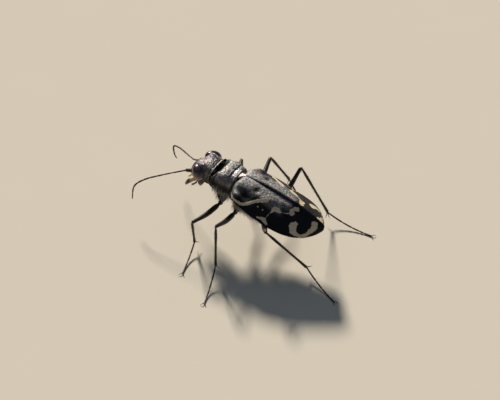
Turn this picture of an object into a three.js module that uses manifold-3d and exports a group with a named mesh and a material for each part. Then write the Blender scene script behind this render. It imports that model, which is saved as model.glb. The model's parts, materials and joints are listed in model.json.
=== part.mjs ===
import * as THREE from 'three';
import { mergeVertices } from 'three/addons/utils/BufferGeometryUtils.js';
import Module from 'manifold-3d';

// Tiger beetle standing high on its legs with its head toward -Y, in millimetres.
// Body shapes are written in the beetle's own axes: x to its left, y to its rear and z up, from
// the middle of the wing-case base. Those axes are pitched head up and lifted off the floor.
// Leg joints and feeler bends are written above the floor, where the feet stand at z = 0.

const wasm = await Module();
wasm.setup();

// Driving dimensions
const GAP = 0.25;
const EYE_GAP = 0.12;
const LIFT = 6.23;
const PITCH = THREE.MathUtils.degToRad(10.5);
const MIDDLE_X = 1.104;
const MIDDLE_Y = 1.21;

const CASE_BASE = 0.3;
const CASE_BULGE = 0.2;
const CASE_END = 8.03;
const CASE_WIDTH = 2.45;
const CASE_SHELL = 0.5;
const CASE_TIP = 0.986;
const CASE_WIDEST = 0.4;
const CASE_ROUND = { front: 2.2, rear: 1.35 };

const THORAX_FRONT = 0.15;
const THORAX_REAR = 3.55;
const ABDOMEN_REAR = 7.25;

const COLLAR_FRONT = -2.1;
const SHIELD_REAR = -0.12;
const SHIELD_WIDTH = 1.38;

const NECK_FRONT = COLLAR_FRONT - GAP;
const HEAD_WIDTH = 1.1;
const EYE = { x: 1.07, y: -3.19, z: -1.2, long: 0.72, thick: 0.47, toward: [0.71, 0.665, -0.23] };

const COXA_RADIUS = { front: 0.55, middle: 0.45, hind: 0.45 };
const FEMUR_RADIUS = 0.3;
const TIBIA_RADIUS = 0.25;
const TARSUS_RADIUS = 0.25;
const FEELER_RADIUS = 0.25;
const SPUR_LENGTH = 0.7;

// Joints of each leg above the floor: hip, knee, ankle and claw, with the inner end of the coxa
// in the beetle's own axes
const LEGS = {
  front_left: { root: [0.62, -0.95, -1.9], hip: [1.01, -1.16, 3.41], knee: [4.4, -1.78, 3.4],
    ankle: [3.65, -2.04, 0.71], claw: [6.89, -1.13, 0] },
  front_right: { root: [-0.62, -0.95, -1.9], hip: [-1.01, -1.16, 3.41], knee: [-4.12, -2.61, 3.49],
    ankle: [-4.13, -2.58, 0.69], claw: [-5.44, 0.5, 0] },
  middle_left: { root: [0.85, 0.85, -2.0], hip: [1.3, 0.38, 3.32], knee: [4.95, 0.82, 4.6],
    ankle: [5.59, 1.2, 1.17], claw: [8.98, 2.27, 0] },
  middle_right: { root: [-0.85, 0.85, -2.0], hip: [-1.3, 0.38, 3.32], knee: [-5.05, -0.48, 3.98],
    ankle: [-6.6, 0.3, 0.95], claw: [-5.0, 3.4, 0] },
  hind_left: { root: [0.6, 2.7, -2.0], hip: [0.71, 2.53, 2.91], knee: [3.65, 4.65, 4.83],
    ankle: [1.48, 7.1, 0.74], claw: [3.24, 10.9, 0] },
  hind_right: { root: [-0.6, 2.7, -2.0], hip: [-0.71, 2.53, 2.91], knee: [-3.67, 3.28, 5.66],
    ankle: [-4.91, 5.02, 0.88], claw: [-5.16, 9.19, 0] },
};

// Bends of each feeler above the floor, from its socket to its tip
const FEELERS = {
  left: [[0.87, -4.01, 5.14], [0.93, -4.44, 5.11], [1.22, -5.21, 4.79], [1.73, -6.44, 4.24],
    [2.27, -7.65, 3.62], [2.76, -8.32, 2.96], [3.14, -8.28, 1.92]],
  right: [[-0.87, -4.01, 5.14], [-1.07, -5.01, 4.49], [-1.39, -5.69, 4.27], [-2.24, -7.26, 3.86],
    [-2.48, -7.99, 3.53], [-2.67, -8.07, 2.6], [-2.9, -8.01, 1.97]],
};

const LEFT = new THREE.Vector3(1, 0, 0);
const bodyFrame = new THREE.Matrix4().makeRotationX(-PITCH).setPosition(0, 0, LIFT);
const { clamp, lerp, smoothstep } = THREE.MathUtils;

function point(values) {
  return new THREE.Vector3(...values);
}

// A place in the beetle's own axes, as a place above the floor
function onBody(x, y, z) {
  return new THREE.Vector3(x, y, z).applyMatrix4(bodyFrame);
}

// Closed solid through rings of equal length, with a fan over each end
function loft(rings) {
  const count = rings[0].length;
  const positions = [];
  const triangles = [];
  for (const ring of rings) {
    for (const vertex of ring) positions.push(vertex.x, vertex.y, vertex.z);
  }
  for (let r = 0; r < rings.length - 1; r++) {
    for (let i = 0; i < count; i++) {
      const a = r * count + i;
      const b = r * count + (i + 1) % count;
      triangles.push(a, b, b + count, a, b + count, a + count);
    }
  }
  const ends = [[rings[0], 0, true], [rings.at(-1), (rings.length - 1) * count, false]];
  for (const [ring, start, flip] of ends) {
    const middle = new THREE.Vector3();
    for (const vertex of ring) middle.addScaledVector(vertex, 1 / count);
    const hub = positions.length / 3;
    positions.push(middle.x, middle.y, middle.z);
    for (let i = 0; i < count; i++) {
      const a = start + i;
      const b = start + (i + 1) % count;
      if (flip) triangles.push(b, a, hub);
      else triangles.push(a, b, hub);
    }
  }
  const geometry = new THREE.BufferGeometry();
  geometry.setAttribute('position', new THREE.Float32BufferAttribute(positions, 3));
  geometry.setIndex(triangles);
  return facingOut(geometry);
}

function facingOut(geometry) {
  const index = geometry.index;
  const position = geometry.attributes.position;
  const corner = [new THREE.Vector3(), new THREE.Vector3(), new THREE.Vector3()];
  let volume = 0;
  for (let i = 0; i < index.count; i += 3) {
    corner.forEach((vertex, k) => vertex.fromBufferAttribute(position, index.getX(i + k)));
    volume += corner[0].dot(corner[1].clone().cross(corner[2]));
  }
  if (volume < 0) index.array.reverse();
  return geometry;
}

function toSolid(geometry) {
  const bare = geometry.clone();
  bare.deleteAttribute('normal');
  bare.deleteAttribute('uv');
  const merged = mergeVertices(bare, 1e-5);
  return new wasm.Manifold(new wasm.Mesh({
    numProp: 3,
    vertProperties: new Float32Array(merged.attributes.position.array),
    triVerts: new Uint32Array(merged.index.array),
  }));
}

function toGeometry(solid) {
  const mesh = solid.getMesh();
  const geometry = new THREE.BufferGeometry();
  geometry.setAttribute('position', new THREE.Float32BufferAttribute(mesh.vertProperties, 3));
  geometry.setIndex(Array.from(mesh.triVerts));
  return geometry;
}

// The largest closed piece left after cuts
function largest(solid) {
  const pieces = solid.decompose();
  return pieces.reduce((best, piece) => (piece.volume() > best.volume() ? piece : best));
}

// A point of the unit circle, squared off where power is over 2
function squaredCircle(angle, power) {
  const c = Math.cos(angle);
  const s = Math.sin(angle);
  return [Math.sign(c) * Math.abs(c) ** (2 / power), Math.sign(s) * Math.abs(s) ** (2 / power)];
}

// Round or flattened sweep along a bent path. half(t) gives half the width and half the height,
// across gives the direction of the width, and grow thickens and lengthens it all round.
function sweep({ path, half, across, sides = 10, rings = 9, power = 2, grow = 0, onFloor = false }) {
  const curve = new THREE.CatmullRomCurve3(path, false, 'centripetal');
  const frames = curve.computeFrenetFrames(rings - 1);
  const outline = [];
  for (let r = 0; r < rings; r++) {
    const t = r / (rings - 1);
    const centre = curve.getPointAt(t);
    const along = frames.tangents[r];
    if (r === 0) centre.addScaledVector(along, -grow);
    if (r === rings - 1) centre.addScaledVector(along, grow);
    const wide = across ? across.clone().addScaledVector(along, -across.dot(along)).normalize()
      : frames.normals[r];
    const high = along.clone().cross(wide);
    const [a, b] = half(t);
    const ring = [];
    for (let i = 0; i < sides; i++) {
      const [c, s] = squaredCircle(i / sides * 2 * Math.PI, power);
      const vertex = centre.clone();
      vertex.addScaledVector(wide, (a + grow) * c).addScaledVector(high, (b + grow) * s);
      if (onFloor) vertex.z = Math.max(vertex.z, 0);
      ring.push(vertex);
    }
    outline.push(ring);
  }
  return toSolid(loft(outline));
}

// Rounds the first and last stretch of a sweep, so that its ends are domes
function dome(t, ends = 0.12) {
  const edge = Math.min(t, 1 - t) / ends;
  return edge < 1 ? Math.sqrt(1 - (1 - edge) ** 2) * 0.7 + 0.3 : 1;
}

// Cross-section ring of the body at one station, a squared ellipse between a top and a bottom
function bodyRing({ y, width, top, bottom, power = 2.4, waist = 0 }, sides, roof) {
  const middle = (top + bottom) / 2;
  const high = (top - bottom) / 2;
  const ring = [];
  for (let i = 0; i < sides; i++) {
    const [spread, rise] = squaredCircle(i / sides * 2 * Math.PI, power);
    const narrow = rise < 0 ? 1 - waist * rise * rise : 1;
    const x = width * narrow * spread;
    let z = middle + high * rise;
    if (roof) z = Math.min(z, roof(Math.abs(x), y));
    ring.push(onBody(x, y, z));
  }
  return ring;
}

// Values between stations of a table of named sections, eased so that the skin runs smoothly
function between(sections, y) {
  let k = 0;
  while (k < sections.length - 2 && y > sections[k + 1].y) k++;
  const [a, b] = [sections[k], sections[k + 1]];
  const t = smoothstep(y, a.y, b.y);
  const section = { y };
  for (const key of ['width', 'top', 'bottom', 'power', 'waist']) {
    section[key] = lerp(a[key], b[key], t);
  }
  return section;
}

function bodyLoft(sections, stations, sides, roof) {
  const first = sections[0].y;
  const last = sections.at(-1).y;
  const rings = [];
  for (let k = 0; k < stations; k++) {
    const y = first + (last - first) * (1 - Math.cos(Math.PI * k / (stations - 1))) / 2;
    rings.push(bodyRing(between(sections, y), sides, roof));
  }
  return toSolid(loft(rings));
}

// Wing cases: the height of the seam line, half the width and the fall from seam to edge
function seamHeight(y) {
  const v = clamp(y / CASE_END, 0, 1);
  const shoulder = Math.max(0, 1 - (y - CASE_BASE) / 0.4);
  return 0.235 * Math.sin(Math.PI * v ** 0.9) - 0.59 * v ** 4.5 - 0.22 * shoulder ** 2;
}

function rearward(y) {
  return clamp((y / CASE_END - CASE_WIDEST) / (1 - CASE_WIDEST), 0, 1);
}

function caseWidth(y) {
  const v = clamp(y / CASE_END, 0, 1);
  const front = 0.82 + 0.18 * Math.sin(Math.PI / 2 * Math.min(v / CASE_WIDEST, 1));
  const corner = 1 - 0.12 * clamp(1 - (y - CASE_BASE) / 0.4, 0, 1) ** 2;
  return CASE_WIDTH * front * corner * (1 - rearward(y) ** 3.9) ** 0.92;
}

function caseFall(y) {
  const v = clamp(y / CASE_END, 0, 1);
  return lerp(0.98, 1.49, Math.min(v / 0.5, 1)) * (1 - rearward(y) ** 1.2) ** 0.27;
}

// How flat the top runs before it falls away to the edge, flat in front and roof-like at the rear
function caseRound(y) {
  return lerp(CASE_ROUND.front, CASE_ROUND.rear, clamp((y - 2) / 3, 0, 1));
}

function innerWidth(y) {
  const width = caseWidth(y);
  return width * (1 - 0.42 / Math.max(width, 0.9));
}

function caseLip(y) {
  return Math.max(caseFall(y) - CASE_SHELL + 0.06, 0.04);
}

function caseShell(y) {
  return Math.min(CASE_SHELL, 0.2 + 0.5 * caseFall(y));
}

// The highest that anything under the wing cases may reach
function underCases(x, y) {
  const inner = innerWidth(y);
  const reach = Math.min(x / inner, 1);
  const ceiling = seamHeight(y) - caseShell(y) - caseLip(y) * reach ** caseRound(y);
  return ceiling - GAP;
}

// The front edge of each wing case bows forward between the scutellum and the shoulder
function baseBulge(x, y) {
  return CASE_BULGE * Math.exp(-(((x - 1.1) / 0.55) ** 2)) * Math.max(0, 1 - (y - CASE_BASE) / 1.2);
}

function elytron(side) {
  const stations = 20;
  const across = 11;
  const under = 7;
  const rings = [];
  for (let k = 0; k < stations; k++) {
    const t = k / (stations - 1);
    const y = CASE_BASE + (CASE_END * CASE_TIP - CASE_BASE) * Math.sin(Math.PI / 2 * t) ** 1.1;
    const seam = seamHeight(y);
    const ring = [];
    for (let i = 0; i < across; i++) {
      const u = i / (across - 1);
      const x = GAP / 2 + u * (caseWidth(y) - GAP / 2);
      const valley = 0.1 * Math.exp(-(((x - GAP / 2) / 0.22) ** 2));
      const bump = 0.14 * Math.exp(-(((u - 0.72) / 0.14) ** 2) - ((y - 0.75) / 0.4) ** 2);
      const dip = 0.1 * Math.exp(-(((u - 0.4) / 0.14) ** 2) - ((y - 0.95) / 0.4) ** 2);
      const fall = caseFall(y) * u ** caseRound(y);
      ring.push(onBody(side * x, y - baseBulge(x, y), seam - fall - valley + bump - dip));
    }
    for (let i = 0; i < under; i++) {
      const u = 1 - i / (under - 1);
      const x = GAP / 2 + u * (innerWidth(y) - GAP / 2);
      const lip = caseLip(y) * u ** caseRound(y);
      ring.push(onBody(side * x, y - baseBulge(x, y), seam - caseShell(y) - lip));
    }
    rings.push(ring);
  }
  return toSolid(loft(rings));
}

// Sections of the shield behind the head, from its front collar past the groove to its rear edge
const SHIELD_SECTIONS = [
  { y: COLLAR_FRONT, width: 1.2, top: -0.45, bottom: -2.35, power: 2.2, waist: 0 },
  { y: -1.95, width: 1.3, top: -0.36, bottom: -2.45, power: 2.3, waist: 0 },
  { y: -1.65, width: 1.12, top: -0.58, bottom: -2.5, power: 2.4, waist: 0.05 },
  { y: -1.4, width: 1.26, top: -0.26, bottom: -2.5, power: 2.9, waist: 0.12 },
  { y: -0.85, width: SHIELD_WIDTH, top: -0.06, bottom: -2.5, power: 3, waist: 0.2 },
  { y: -0.45, width: 1.34, top: -0.14, bottom: -2.45, power: 3, waist: 0.2 },
  { y: -0.3, width: 1.26, top: -0.34, bottom: -2.4, power: 2.8, waist: 0.15 },
  { y: SHIELD_REAR, width: 1.28, top: -0.24, bottom: -2.3, power: 2.8, waist: 0.1 },
];

const THORAX_SECTIONS = [
  { y: THORAX_FRONT, width: 1.3, top: -0.7, bottom: -2.2, power: 2.4, waist: 0 },
  { y: 0.9, width: 1.72, top: -0.55, bottom: -2.55, power: 2.4, waist: 0 },
  { y: 2.4, width: 1.85, top: -0.5, bottom: -2.6, power: 2.4, waist: 0 },
  { y: THORAX_REAR, width: 1.8, top: -0.5, bottom: -2.4, power: 2.4, waist: 0 },
];

const ABDOMEN_SECTIONS = [
  { y: THORAX_REAR + GAP, width: 1.82, top: -0.5, bottom: -2.35, power: 2.3, waist: 0 },
  { y: 5.2, width: 1.8, top: -0.55, bottom: -2.25, power: 2.3, waist: 0 },
  { y: 6.6, width: 1.25, top: -0.9, bottom: -2.0, power: 2.2, waist: 0 },
  { y: ABDOMEN_REAR, width: 0.45, top: -1.15, bottom: -1.75, power: 2, waist: 0 },
];

// Each eye bulges outward and to the rear
function eye(side, grow = 0) {
  const ball = new THREE.SphereGeometry(1, 18, 12);
  const [outward, rearward, upward] = EYE.toward;
  const toward = new THREE.Vector3(side * outward, rearward, upward).normalize();
  ball.rotateX(Math.PI / 2);
  ball.scale(EYE.thick + grow, EYE.thick + grow, EYE.long + grow);
  ball.applyQuaternion(new THREE.Quaternion().setFromUnitVectors(new THREE.Vector3(0, 0, 1), toward));
  ball.translate(side * EYE.x, EYE.y, EYE.z);
  ball.applyMatrix4(bodyFrame);
  return toSolid(ball);
}

// The head runs from the neck forward and bends down to the face
function headShape() {
  const width = new THREE.CatmullRomCurve3([[0, 0.92], [0.2, 1.06], [0.45, HEAD_WIDTH], [0.75, 0.93],
    [1, 0.6]].map(([t, w]) => new THREE.Vector3(t, w, 0)));
  return sweep({
    path: [onBody(0, NECK_FRONT, -1.5), onBody(0, -2.9, -1.48), onBody(0, -3.45, -1.84),
      onBody(0, -3.8, -2.5)],
    half: (t) => [width.getPoint(t).y, lerp(0.84, 0.48, t ** 1.6) * dome(t, 0.1)],
    across: LEFT, sides: 22, rings: 14, power: 2.5,
  });
}

function labrum(grow = 0) {
  return sweep({
    path: [onBody(0, -3.93, -2.54), onBody(0, -4.09, -2.84), onBody(0, -4.2, -3.16)],
    half: (t) => [lerp(0.58, 0.42, t * t), 0.2], across: LEFT, sides: 14, rings: 5, grow,
  });
}

function mandible(side, grow = 0) {
  return sweep({
    path: [onBody(side * 0.82, -3.48, -2.55), onBody(side * 0.98, -3.74, -2.95),
      onBody(side * 0.82, -3.98, -3.5), onBody(side * 0.4, -4.18, -4.06)],
    half: (t) => [lerp(0.3, 0.07, t ** 1.4), lerp(0.27, 0.07, t ** 1.4)],
    across: LEFT, sides: 10, rings: 9, grow,
  });
}

const PALPS = {
  maxillary: [[0.6, -3.2, -2.6], [0.9, -3.15, -3.1], [0.98, -3.25, -3.45], [0.9, -3.4, -3.8]],
  labial: [[0.3, -3.0, -2.5], [0.4, -2.88, -2.95], [0.4, -2.95, -3.35], [0.36, -3.1, -3.65]],
};

function palp(kind, side, grow = 0) {
  return sweep({
    path: PALPS[kind].map(([x, y, z]) => onBody(side * x, y, z)),
    half: (t) => [0.25 * dome(t, 0.15), 0.25 * dome(t, 0.15)], sides: 8, rings: 8, grow,
  });
}

function scutellum(grow = 0) {
  return sweep({
    path: [onBody(0, 0.13, -0.36), onBody(0, 0.4, -0.22), onBody(0, 0.72, -0.14)],
    half: (t) => [lerp(0.34, 0.07, t), 0.22], across: LEFT, sides: 10, rings: 5, grow,
  });
}

// Feelers in three lengths: a thick first joint, a shaft and a tip
function feelerCurve(side) {
  return new THREE.CatmullRomCurve3(FEELERS[side].map(point), false, 'centripetal');
}

const FEELER_LENGTHS = {
  scape: { from: 0, to: 0.14, rings: 6, half: (t) => 0.25 + 0.04 * Math.sin(Math.PI * t) },
  shaft: { from: 0.18, to: 0.58, rings: 9, half: () => FEELER_RADIUS },
  tip: { from: 0.62, to: 1, rings: 11, half: (t) => lerp(FEELER_RADIUS, 0.1, t ** 3) },
};

function feeler(side, name, grow = 0) {
  const { from, to, rings, half } = FEELER_LENGTHS[name];
  const curve = feelerCurve(side);
  const path = [];
  for (let i = 0; i < 7; i++) path.push(curve.getPointAt(lerp(from, to, i / 6)));
  return sweep({ path, half: (t) => [half(t), half(t)], sides: 8, rings, grow });
}

function coxa(name, grow = 0) {
  const leg = LEGS[name];
  const half = (t) => lerp(COXA_RADIUS[name.split('_')[0]], 0.28, t);
  return sweep({
    path: [onBody(...leg.root), onBody(...leg.root).lerp(point(leg.hip), 0.5), point(leg.hip)],
    half: (t) => [half(t), half(t) * dome(t, 0.2)], sides: 10, rings: 6, grow,
  });
}

function femur(leg, grow = 0) {
  const hip = point(leg.hip);
  const knee = point(leg.knee);
  const middle = hip.clone().lerp(knee, 0.5);
  middle.z -= 0.2;
  const half = (t) => (FEMUR_RADIUS - 0.045 * Math.abs(2 * t - 0.6) ** 2) * dome(t, 0.08);
  return sweep({ path: [hip, middle, knee], half: (t) => [half(t), half(t)], rings: 11, grow });
}

function tibia(leg, grow = 0) {
  const knee = point(leg.knee);
  const ankle = point(leg.ankle);
  const half = () => TIBIA_RADIUS;
  const path = [knee, knee.clone().lerp(ankle, 0.5), ankle];
  return sweep({ path, half: (t) => [half(t), half(t)], rings: 6, grow });
}

// Two spurs at the lower end of each tibia, on its inner side
function spurs(leg, grow = 0) {
  const ankle = point(leg.ankle);
  const down = ankle.clone().sub(point(leg.knee)).normalize();
  const inner = new THREE.Vector3(-Math.sign(leg.hip[0]), 0, 0);
  inner.addScaledVector(down, -inner.dot(down)).normalize();
  const beside = down.clone().cross(inner);
  const half = (t) => lerp(0.18, 0.05, t);
  return [-1, 1].map((side) => {
    const start = ankle.clone().addScaledVector(down, -0.3);
    const reach = down.clone().multiplyScalar(0.7).addScaledVector(inner, 0.6)
      .addScaledVector(beside, side * 0.35).normalize();
    const end = start.clone().addScaledVector(reach, SPUR_LENGTH);
    end.z = Math.max(end.z, 0.15);
    return sweep({
      path: [start, start.clone().lerp(end, 0.5), end], half: (t) => [half(t), half(t)],
      sides: 6, rings: 3, grow,
    });
  });
}

// The foot drops from the ankle and runs along the floor out to its claws, flat underneath
function tarsus(leg) {
  const ankle = point(leg.ankle);
  const claw = point(leg.claw);
  const path = [];
  for (let i = 0; i < 7; i++) {
    const t = i / 6;
    const place = ankle.clone().lerp(claw, t);
    place.z = lerp(TARSUS_RADIUS * 0.6, ankle.z, (1 - t) ** 2.4);
    path.push(place);
  }
  const half = (t) => lerp(TARSUS_RADIUS, 0.16, t ** 4);
  return sweep({ path, half: (t) => [half(t), half(t)], sides: 12, rings: 12, onFloor: true });
}

// Finishes
function finish(color, roughness, metalness) {
  return new THREE.MeshStandardMaterial({ color, roughness, metalness });
}

const FINISHES = {
  bronze: () => finish(0x37332f, 0.5, 0.35),
  wing: () => finish(0x1c1b20, 0.45, 0.3),
  eye: () => finish(0x2b1c22, 0.2, 0.1),
  ivory: () => finish(0xcdb68a, 0.5, 0),
  leg: () => finish(0x1b1618, 0.35, 0.4),
  flank: () => finish(0x4a4038, 0.6, 0.2),
};

const beetle = new THREE.Group();
beetle.position.set(-MIDDLE_X, -MIDDLE_Y, 0);

// Adds one named sub-part, cut clear of the neighbours that it meets
function add(name, finishName, solid, neighbours = []) {
  let body = solid;
  for (const neighbour of neighbours) body = body.subtract(neighbour);
  const mesh = new THREE.Mesh(toGeometry(largest(body)), FINISHES[finishName]());
  mesh.name = name;
  beetle.add(mesh);
}

const SIDES = { left: 1, right: -1 };
const legNames = Object.keys(LEGS);
const pairOf = (pair) => legNames.filter((name) => name.startsWith(pair));
const coxae = (pair) => pairOf(pair).map((name) => coxa(name, GAP));
const femora = (pair) => pairOf(pair).map((name) => femur(LEGS[name], GAP));
const mouthparts = Object.values(SIDES).flatMap((side) => [
  eye(side, EYE_GAP), mandible(side, GAP), palp('maxillary', side, GAP), palp('labial', side, GAP),
]);
const scapes = Object.keys(SIDES).map((side) => feeler(side, 'scape', GAP));

add('head', 'bronze', headShape(), [...mouthparts, ...scapes, labrum(GAP)]);
add('labrum', 'ivory', labrum(), Object.values(SIDES).map((side) => mandible(side, GAP)));
add('prothorax', 'bronze', bodyLoft(SHIELD_SECTIONS, 17, 24), [...coxae('front'), ...femora('front')]);
add('thorax', 'flank', bodyLoft(THORAX_SECTIONS, 10, 24, underCases).subtract(scutellum(GAP)),
  [...coxae('middle'), ...coxae('hind'), ...femora('middle'), ...femora('hind')]);
add('abdomen', 'flank', bodyLoft(ABDOMEN_SECTIONS, 11, 24, underCases), femora('hind'));
add('scutellum', 'bronze', scutellum());

for (const [sideName, side] of Object.entries(SIDES)) {
  add(`eye_${sideName}`, 'eye', eye(side));
  add(`mandible_${sideName}`, 'ivory', mandible(side));
  add(`palp_maxillary_${sideName}`, 'leg', palp('maxillary', side), [mandible(side, GAP)]);
  add(`palp_labial_${sideName}`, 'leg', palp('labial', side), [palp('maxillary', side, GAP)]);
  add(`elytron_${sideName}`, 'wing', elytron(side), [scutellum(GAP)]);
  for (const name of Object.keys(FEELER_LENGTHS)) {
    add(`antenna_${sideName}_${name}`, 'leg', feeler(sideName, name), [eye(side, EYE_GAP)]);
  }
}

for (const [name, leg] of Object.entries(LEGS)) {
  const spurPair = spurs(leg);
  const shin = spurPair.reduce((solid, spur) => solid.add(spur), tibia(leg));
  add(`coxa_${name}`, 'bronze', coxa(name));
  add(`femur_${name}`, 'leg', femur(leg), [coxa(name, GAP)]);
  add(`tibia_${name}`, 'leg', shin, [femur(leg, GAP)]);
  add(`tarsus_${name}`, 'leg', tarsus(leg), [tibia(leg, GAP), ...spurs(leg, GAP)]);
}

export default beetle;
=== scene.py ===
"""Tiger beetle on a plain pale floor: fine plates, legs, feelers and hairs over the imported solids."""

import json
import math

import bpy
import numpy as np
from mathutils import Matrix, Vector

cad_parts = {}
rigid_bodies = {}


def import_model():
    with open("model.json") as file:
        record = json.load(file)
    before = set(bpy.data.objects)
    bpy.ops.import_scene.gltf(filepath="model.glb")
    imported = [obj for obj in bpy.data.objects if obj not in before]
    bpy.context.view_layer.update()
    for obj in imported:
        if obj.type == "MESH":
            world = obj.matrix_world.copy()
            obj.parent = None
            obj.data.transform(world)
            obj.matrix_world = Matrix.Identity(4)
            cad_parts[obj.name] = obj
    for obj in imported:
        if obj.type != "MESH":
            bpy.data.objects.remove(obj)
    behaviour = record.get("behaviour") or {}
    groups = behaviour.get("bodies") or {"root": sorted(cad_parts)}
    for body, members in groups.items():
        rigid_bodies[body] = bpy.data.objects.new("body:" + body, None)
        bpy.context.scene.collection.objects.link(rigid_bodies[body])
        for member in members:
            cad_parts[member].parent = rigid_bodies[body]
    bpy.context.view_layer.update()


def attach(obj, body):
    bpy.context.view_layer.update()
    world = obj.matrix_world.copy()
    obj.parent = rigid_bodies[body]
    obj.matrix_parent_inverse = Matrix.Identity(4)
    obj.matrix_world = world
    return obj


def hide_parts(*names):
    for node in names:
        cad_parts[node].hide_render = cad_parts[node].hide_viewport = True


bl_info = {
    "name": "Tiger beetle",
    "version": (1, 0, 0),
    "blender": (4, 5, 0),
    "location": "3D View > Sidebar > Tiger beetle",
    "description": "Builds the plates, legs, feelers and hairs of a tiger beetle on its packed solids",
    "category": "Object",
}

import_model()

# Frame: shapes are written in mm in the beetle's own axes, x to its left, y to its rear and z up
# from the middle of the wing-case base. These axes are pitched head up and lifted off the floor.
MM = 0.001
PITCH = math.radians(10.5)
LIFT = 6.23
MIDDLE = np.array([1.104, 1.21, 0.0])
SIDES = {"left": 1, "right": -1}
LEFT = np.array([1.0, 0.0, 0.0])
TINY = 1e-9

# Wing cases
CASE_BASE = 0.3
CASE_BULGE = 0.2
CASE_END = 8.03
CASE_WIDTH = 2.45
CASE_WIDEST = 0.4
CASE_ROUND = (2.2, 1.35)
CASE_WALL = 0.12
CASE_RIM = 0.3
SEAM_GAP = 0.012
CASE_STATIONS = 230
CASE_ACROSS = 96
CASE_RIM_ACROSS = 24

# Head: its path from the neck to the lip, its half widths as (share of the path, half width), and the
# eyes, which turn from dark to a brown painted reflection of the floor between two heights above the floor
HEAD_PATH = ((0, -1.9, -1.5), (0, -2.35, -1.5), (0, -2.9, -1.48), (0, -3.45, -1.84), (0, -3.8, -2.5))
HEAD_WIDTHS = ((0, 0.9), (0.12, 1.06), (0.25, 1.1), (0.4, 1.03), (0.553, 0.88), (0.797, 0.74), (1, 0.58))
EYE_PLACE = (1.1, -3.16, -1.28)
EYE_HALF = (0.5, 0.71)
EYE_TOWARD = (0.71, 0.665, -0.23)
EYE_REFLECTION_START = 6.1
EYE_REFLECTION_FULL = 5.7

# Mouth: bends of the parts of the left side, and the teeth of a jaw as (share of its length, size)
JAW_BENDS = ((0.76, -3.45, -2.42), (0.98, -3.78, -2.78), (0.88, -4.02, -3.3), (0.52, -4.17, -3.8),
             (0.2, -4.2, -4.1))
JAW_TEETH = ((0.42, 0.3), (0.58, 0.26), (0.72, 0.22))
MAXILLA = ((0.5, -2.75, -2.05), (0.72, -2.88, -2.45), (0.8, -2.98, -2.82))
LIP = ((0, -3.84, -2.45), (0, -4.02, -2.7), (0, -4.17, -2.98), (0, -4.21, -3.2))
PALPS = {
    "maxillary": ((0.6, -3.2, -2.5), (0.78, -3.28, -2.8), (0.86, -3.42, -3.02), (0.84, -3.58, -3.22)),
    "labial": ((0.3, -3.0, -2.5), (0.4, -2.93, -2.85), (0.42, -2.98, -3.1), (0.38, -3.08, -3.3)),
}
PALP_JOINTS = (0.3, 0.62)

# Sections of the shield and of the body below the wing cases: place along the beetle, half width,
# top, bottom, squareness and how much the lower half draws in
SHIELD = ((-2.12, 1.2, -0.5, -2.05, 2.2, 0), (-2.06, 1.28, -0.42, -2.1, 2.3, 0),
          (-1.98, 1.12, -0.66, -2.15, 2.3, 0), (-1.7, 1.08, -0.7, -2.3, 2.4, 0.05),
          (-1.52, 1.18, -0.44, -2.5, 2.7, 0.1), (-1.4, 1.28, -0.22, -2.5, 2.9, 0.12),
          (-0.95, 1.4, -0.04, -2.5, 2.9, 0.2), (-0.65, 1.36, -0.05, -2.45, 3, 0.2),
          (-0.52, 1.3, -0.13, -2.4, 2.8, 0.15), (-0.38, 1.28, -0.12, -2.3, 2.8, 0.1),
          (-0.17, 1.28, -0.17, -2.3, 2.8, 0.1), (-0.05, 1.26, -0.3, -2.3, 2.8, 0.1))
UNDERBODY = ((-0.3, 0.95, -0.8, -2.05, 2.2, 0), (0.15, 1.3, -0.62, -2.2, 2.4, 0),
             (0.9, 1.72, -0.45, -2.55, 2.4, 0), (2.4, 1.85, -0.4, -2.6, 2.4, 0),
             (3.7, 1.82, -0.4, -2.38, 2.4, 0), (5.2, 1.8, -0.45, -2.25, 2.3, 0),
             (6.6, 1.25, -0.8, -2.0, 2.2, 0), (7.3, 0.45, -1.1, -1.7, 2, 0))
STERNITE_EDGES = (3.75, 4.5, 5.2, 5.85, 6.4, 6.85)

# Path of the small plate between the wing cases
SMALL_PLATE = ((0, -0.05, -0.36), (0, 0.25, -0.2), (0, 0.5, -0.1), (0, 0.75, -0.1))

# Legs: for each pair the inner end of the left coxa in the beetle's own axes, its hip above the floor
# and its half width, and for each leg its knee, ankle and claw above the floor
HIPS = {
    "front": ((0.62, -0.95, -1.9), (1.01, -1.16, 3.41), 0.55),
    "middle": ((0.85, 0.85, -2.0), (1.3, 0.38, 3.32), 0.45),
    "hind": ((0.6, 2.7, -2.0), (0.71, 2.53, 2.91), 0.45),
}
LEGS = {
    "front_left": ((4.4, -1.78, 3.4), (3.65, -2.04, 0.71), (6.89, -1.13, 0)),
    "front_right": ((-4.12, -2.61, 3.49), (-4.13, -2.58, 0.69), (-5.44, 0.5, 0)),
    "middle_left": ((4.95, 0.82, 4.6), (5.59, 1.2, 1.17), (8.98, 2.27, 0)),
    "middle_right": ((-5.05, -0.48, 3.98), (-6.6, 0.3, 0.95), (-5.0, 3.4, 0)),
    "hind_left": ((3.65, 4.65, 4.83), (1.48, 7.1, 0.74), (3.24, 10.9, 0)),
    "hind_right": ((-3.67, 3.28, 5.66), (-4.91, 5.02, 0.88), (-5.16, 9.19, 0)),
}
THIGH_SAG = (0, 0, 0.2)
FOOT_HALF = 0.062
FOOT_END = 0.95
FOOT_JOINTS = (0.34, 0.56, 0.72, 0.82)
CLAW_BENDS = ((0, 0, 0), (0.14, 0.1, 0.06), (0.26, 0.19, 0.03), (0.31, 0.24, -0.052))

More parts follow.
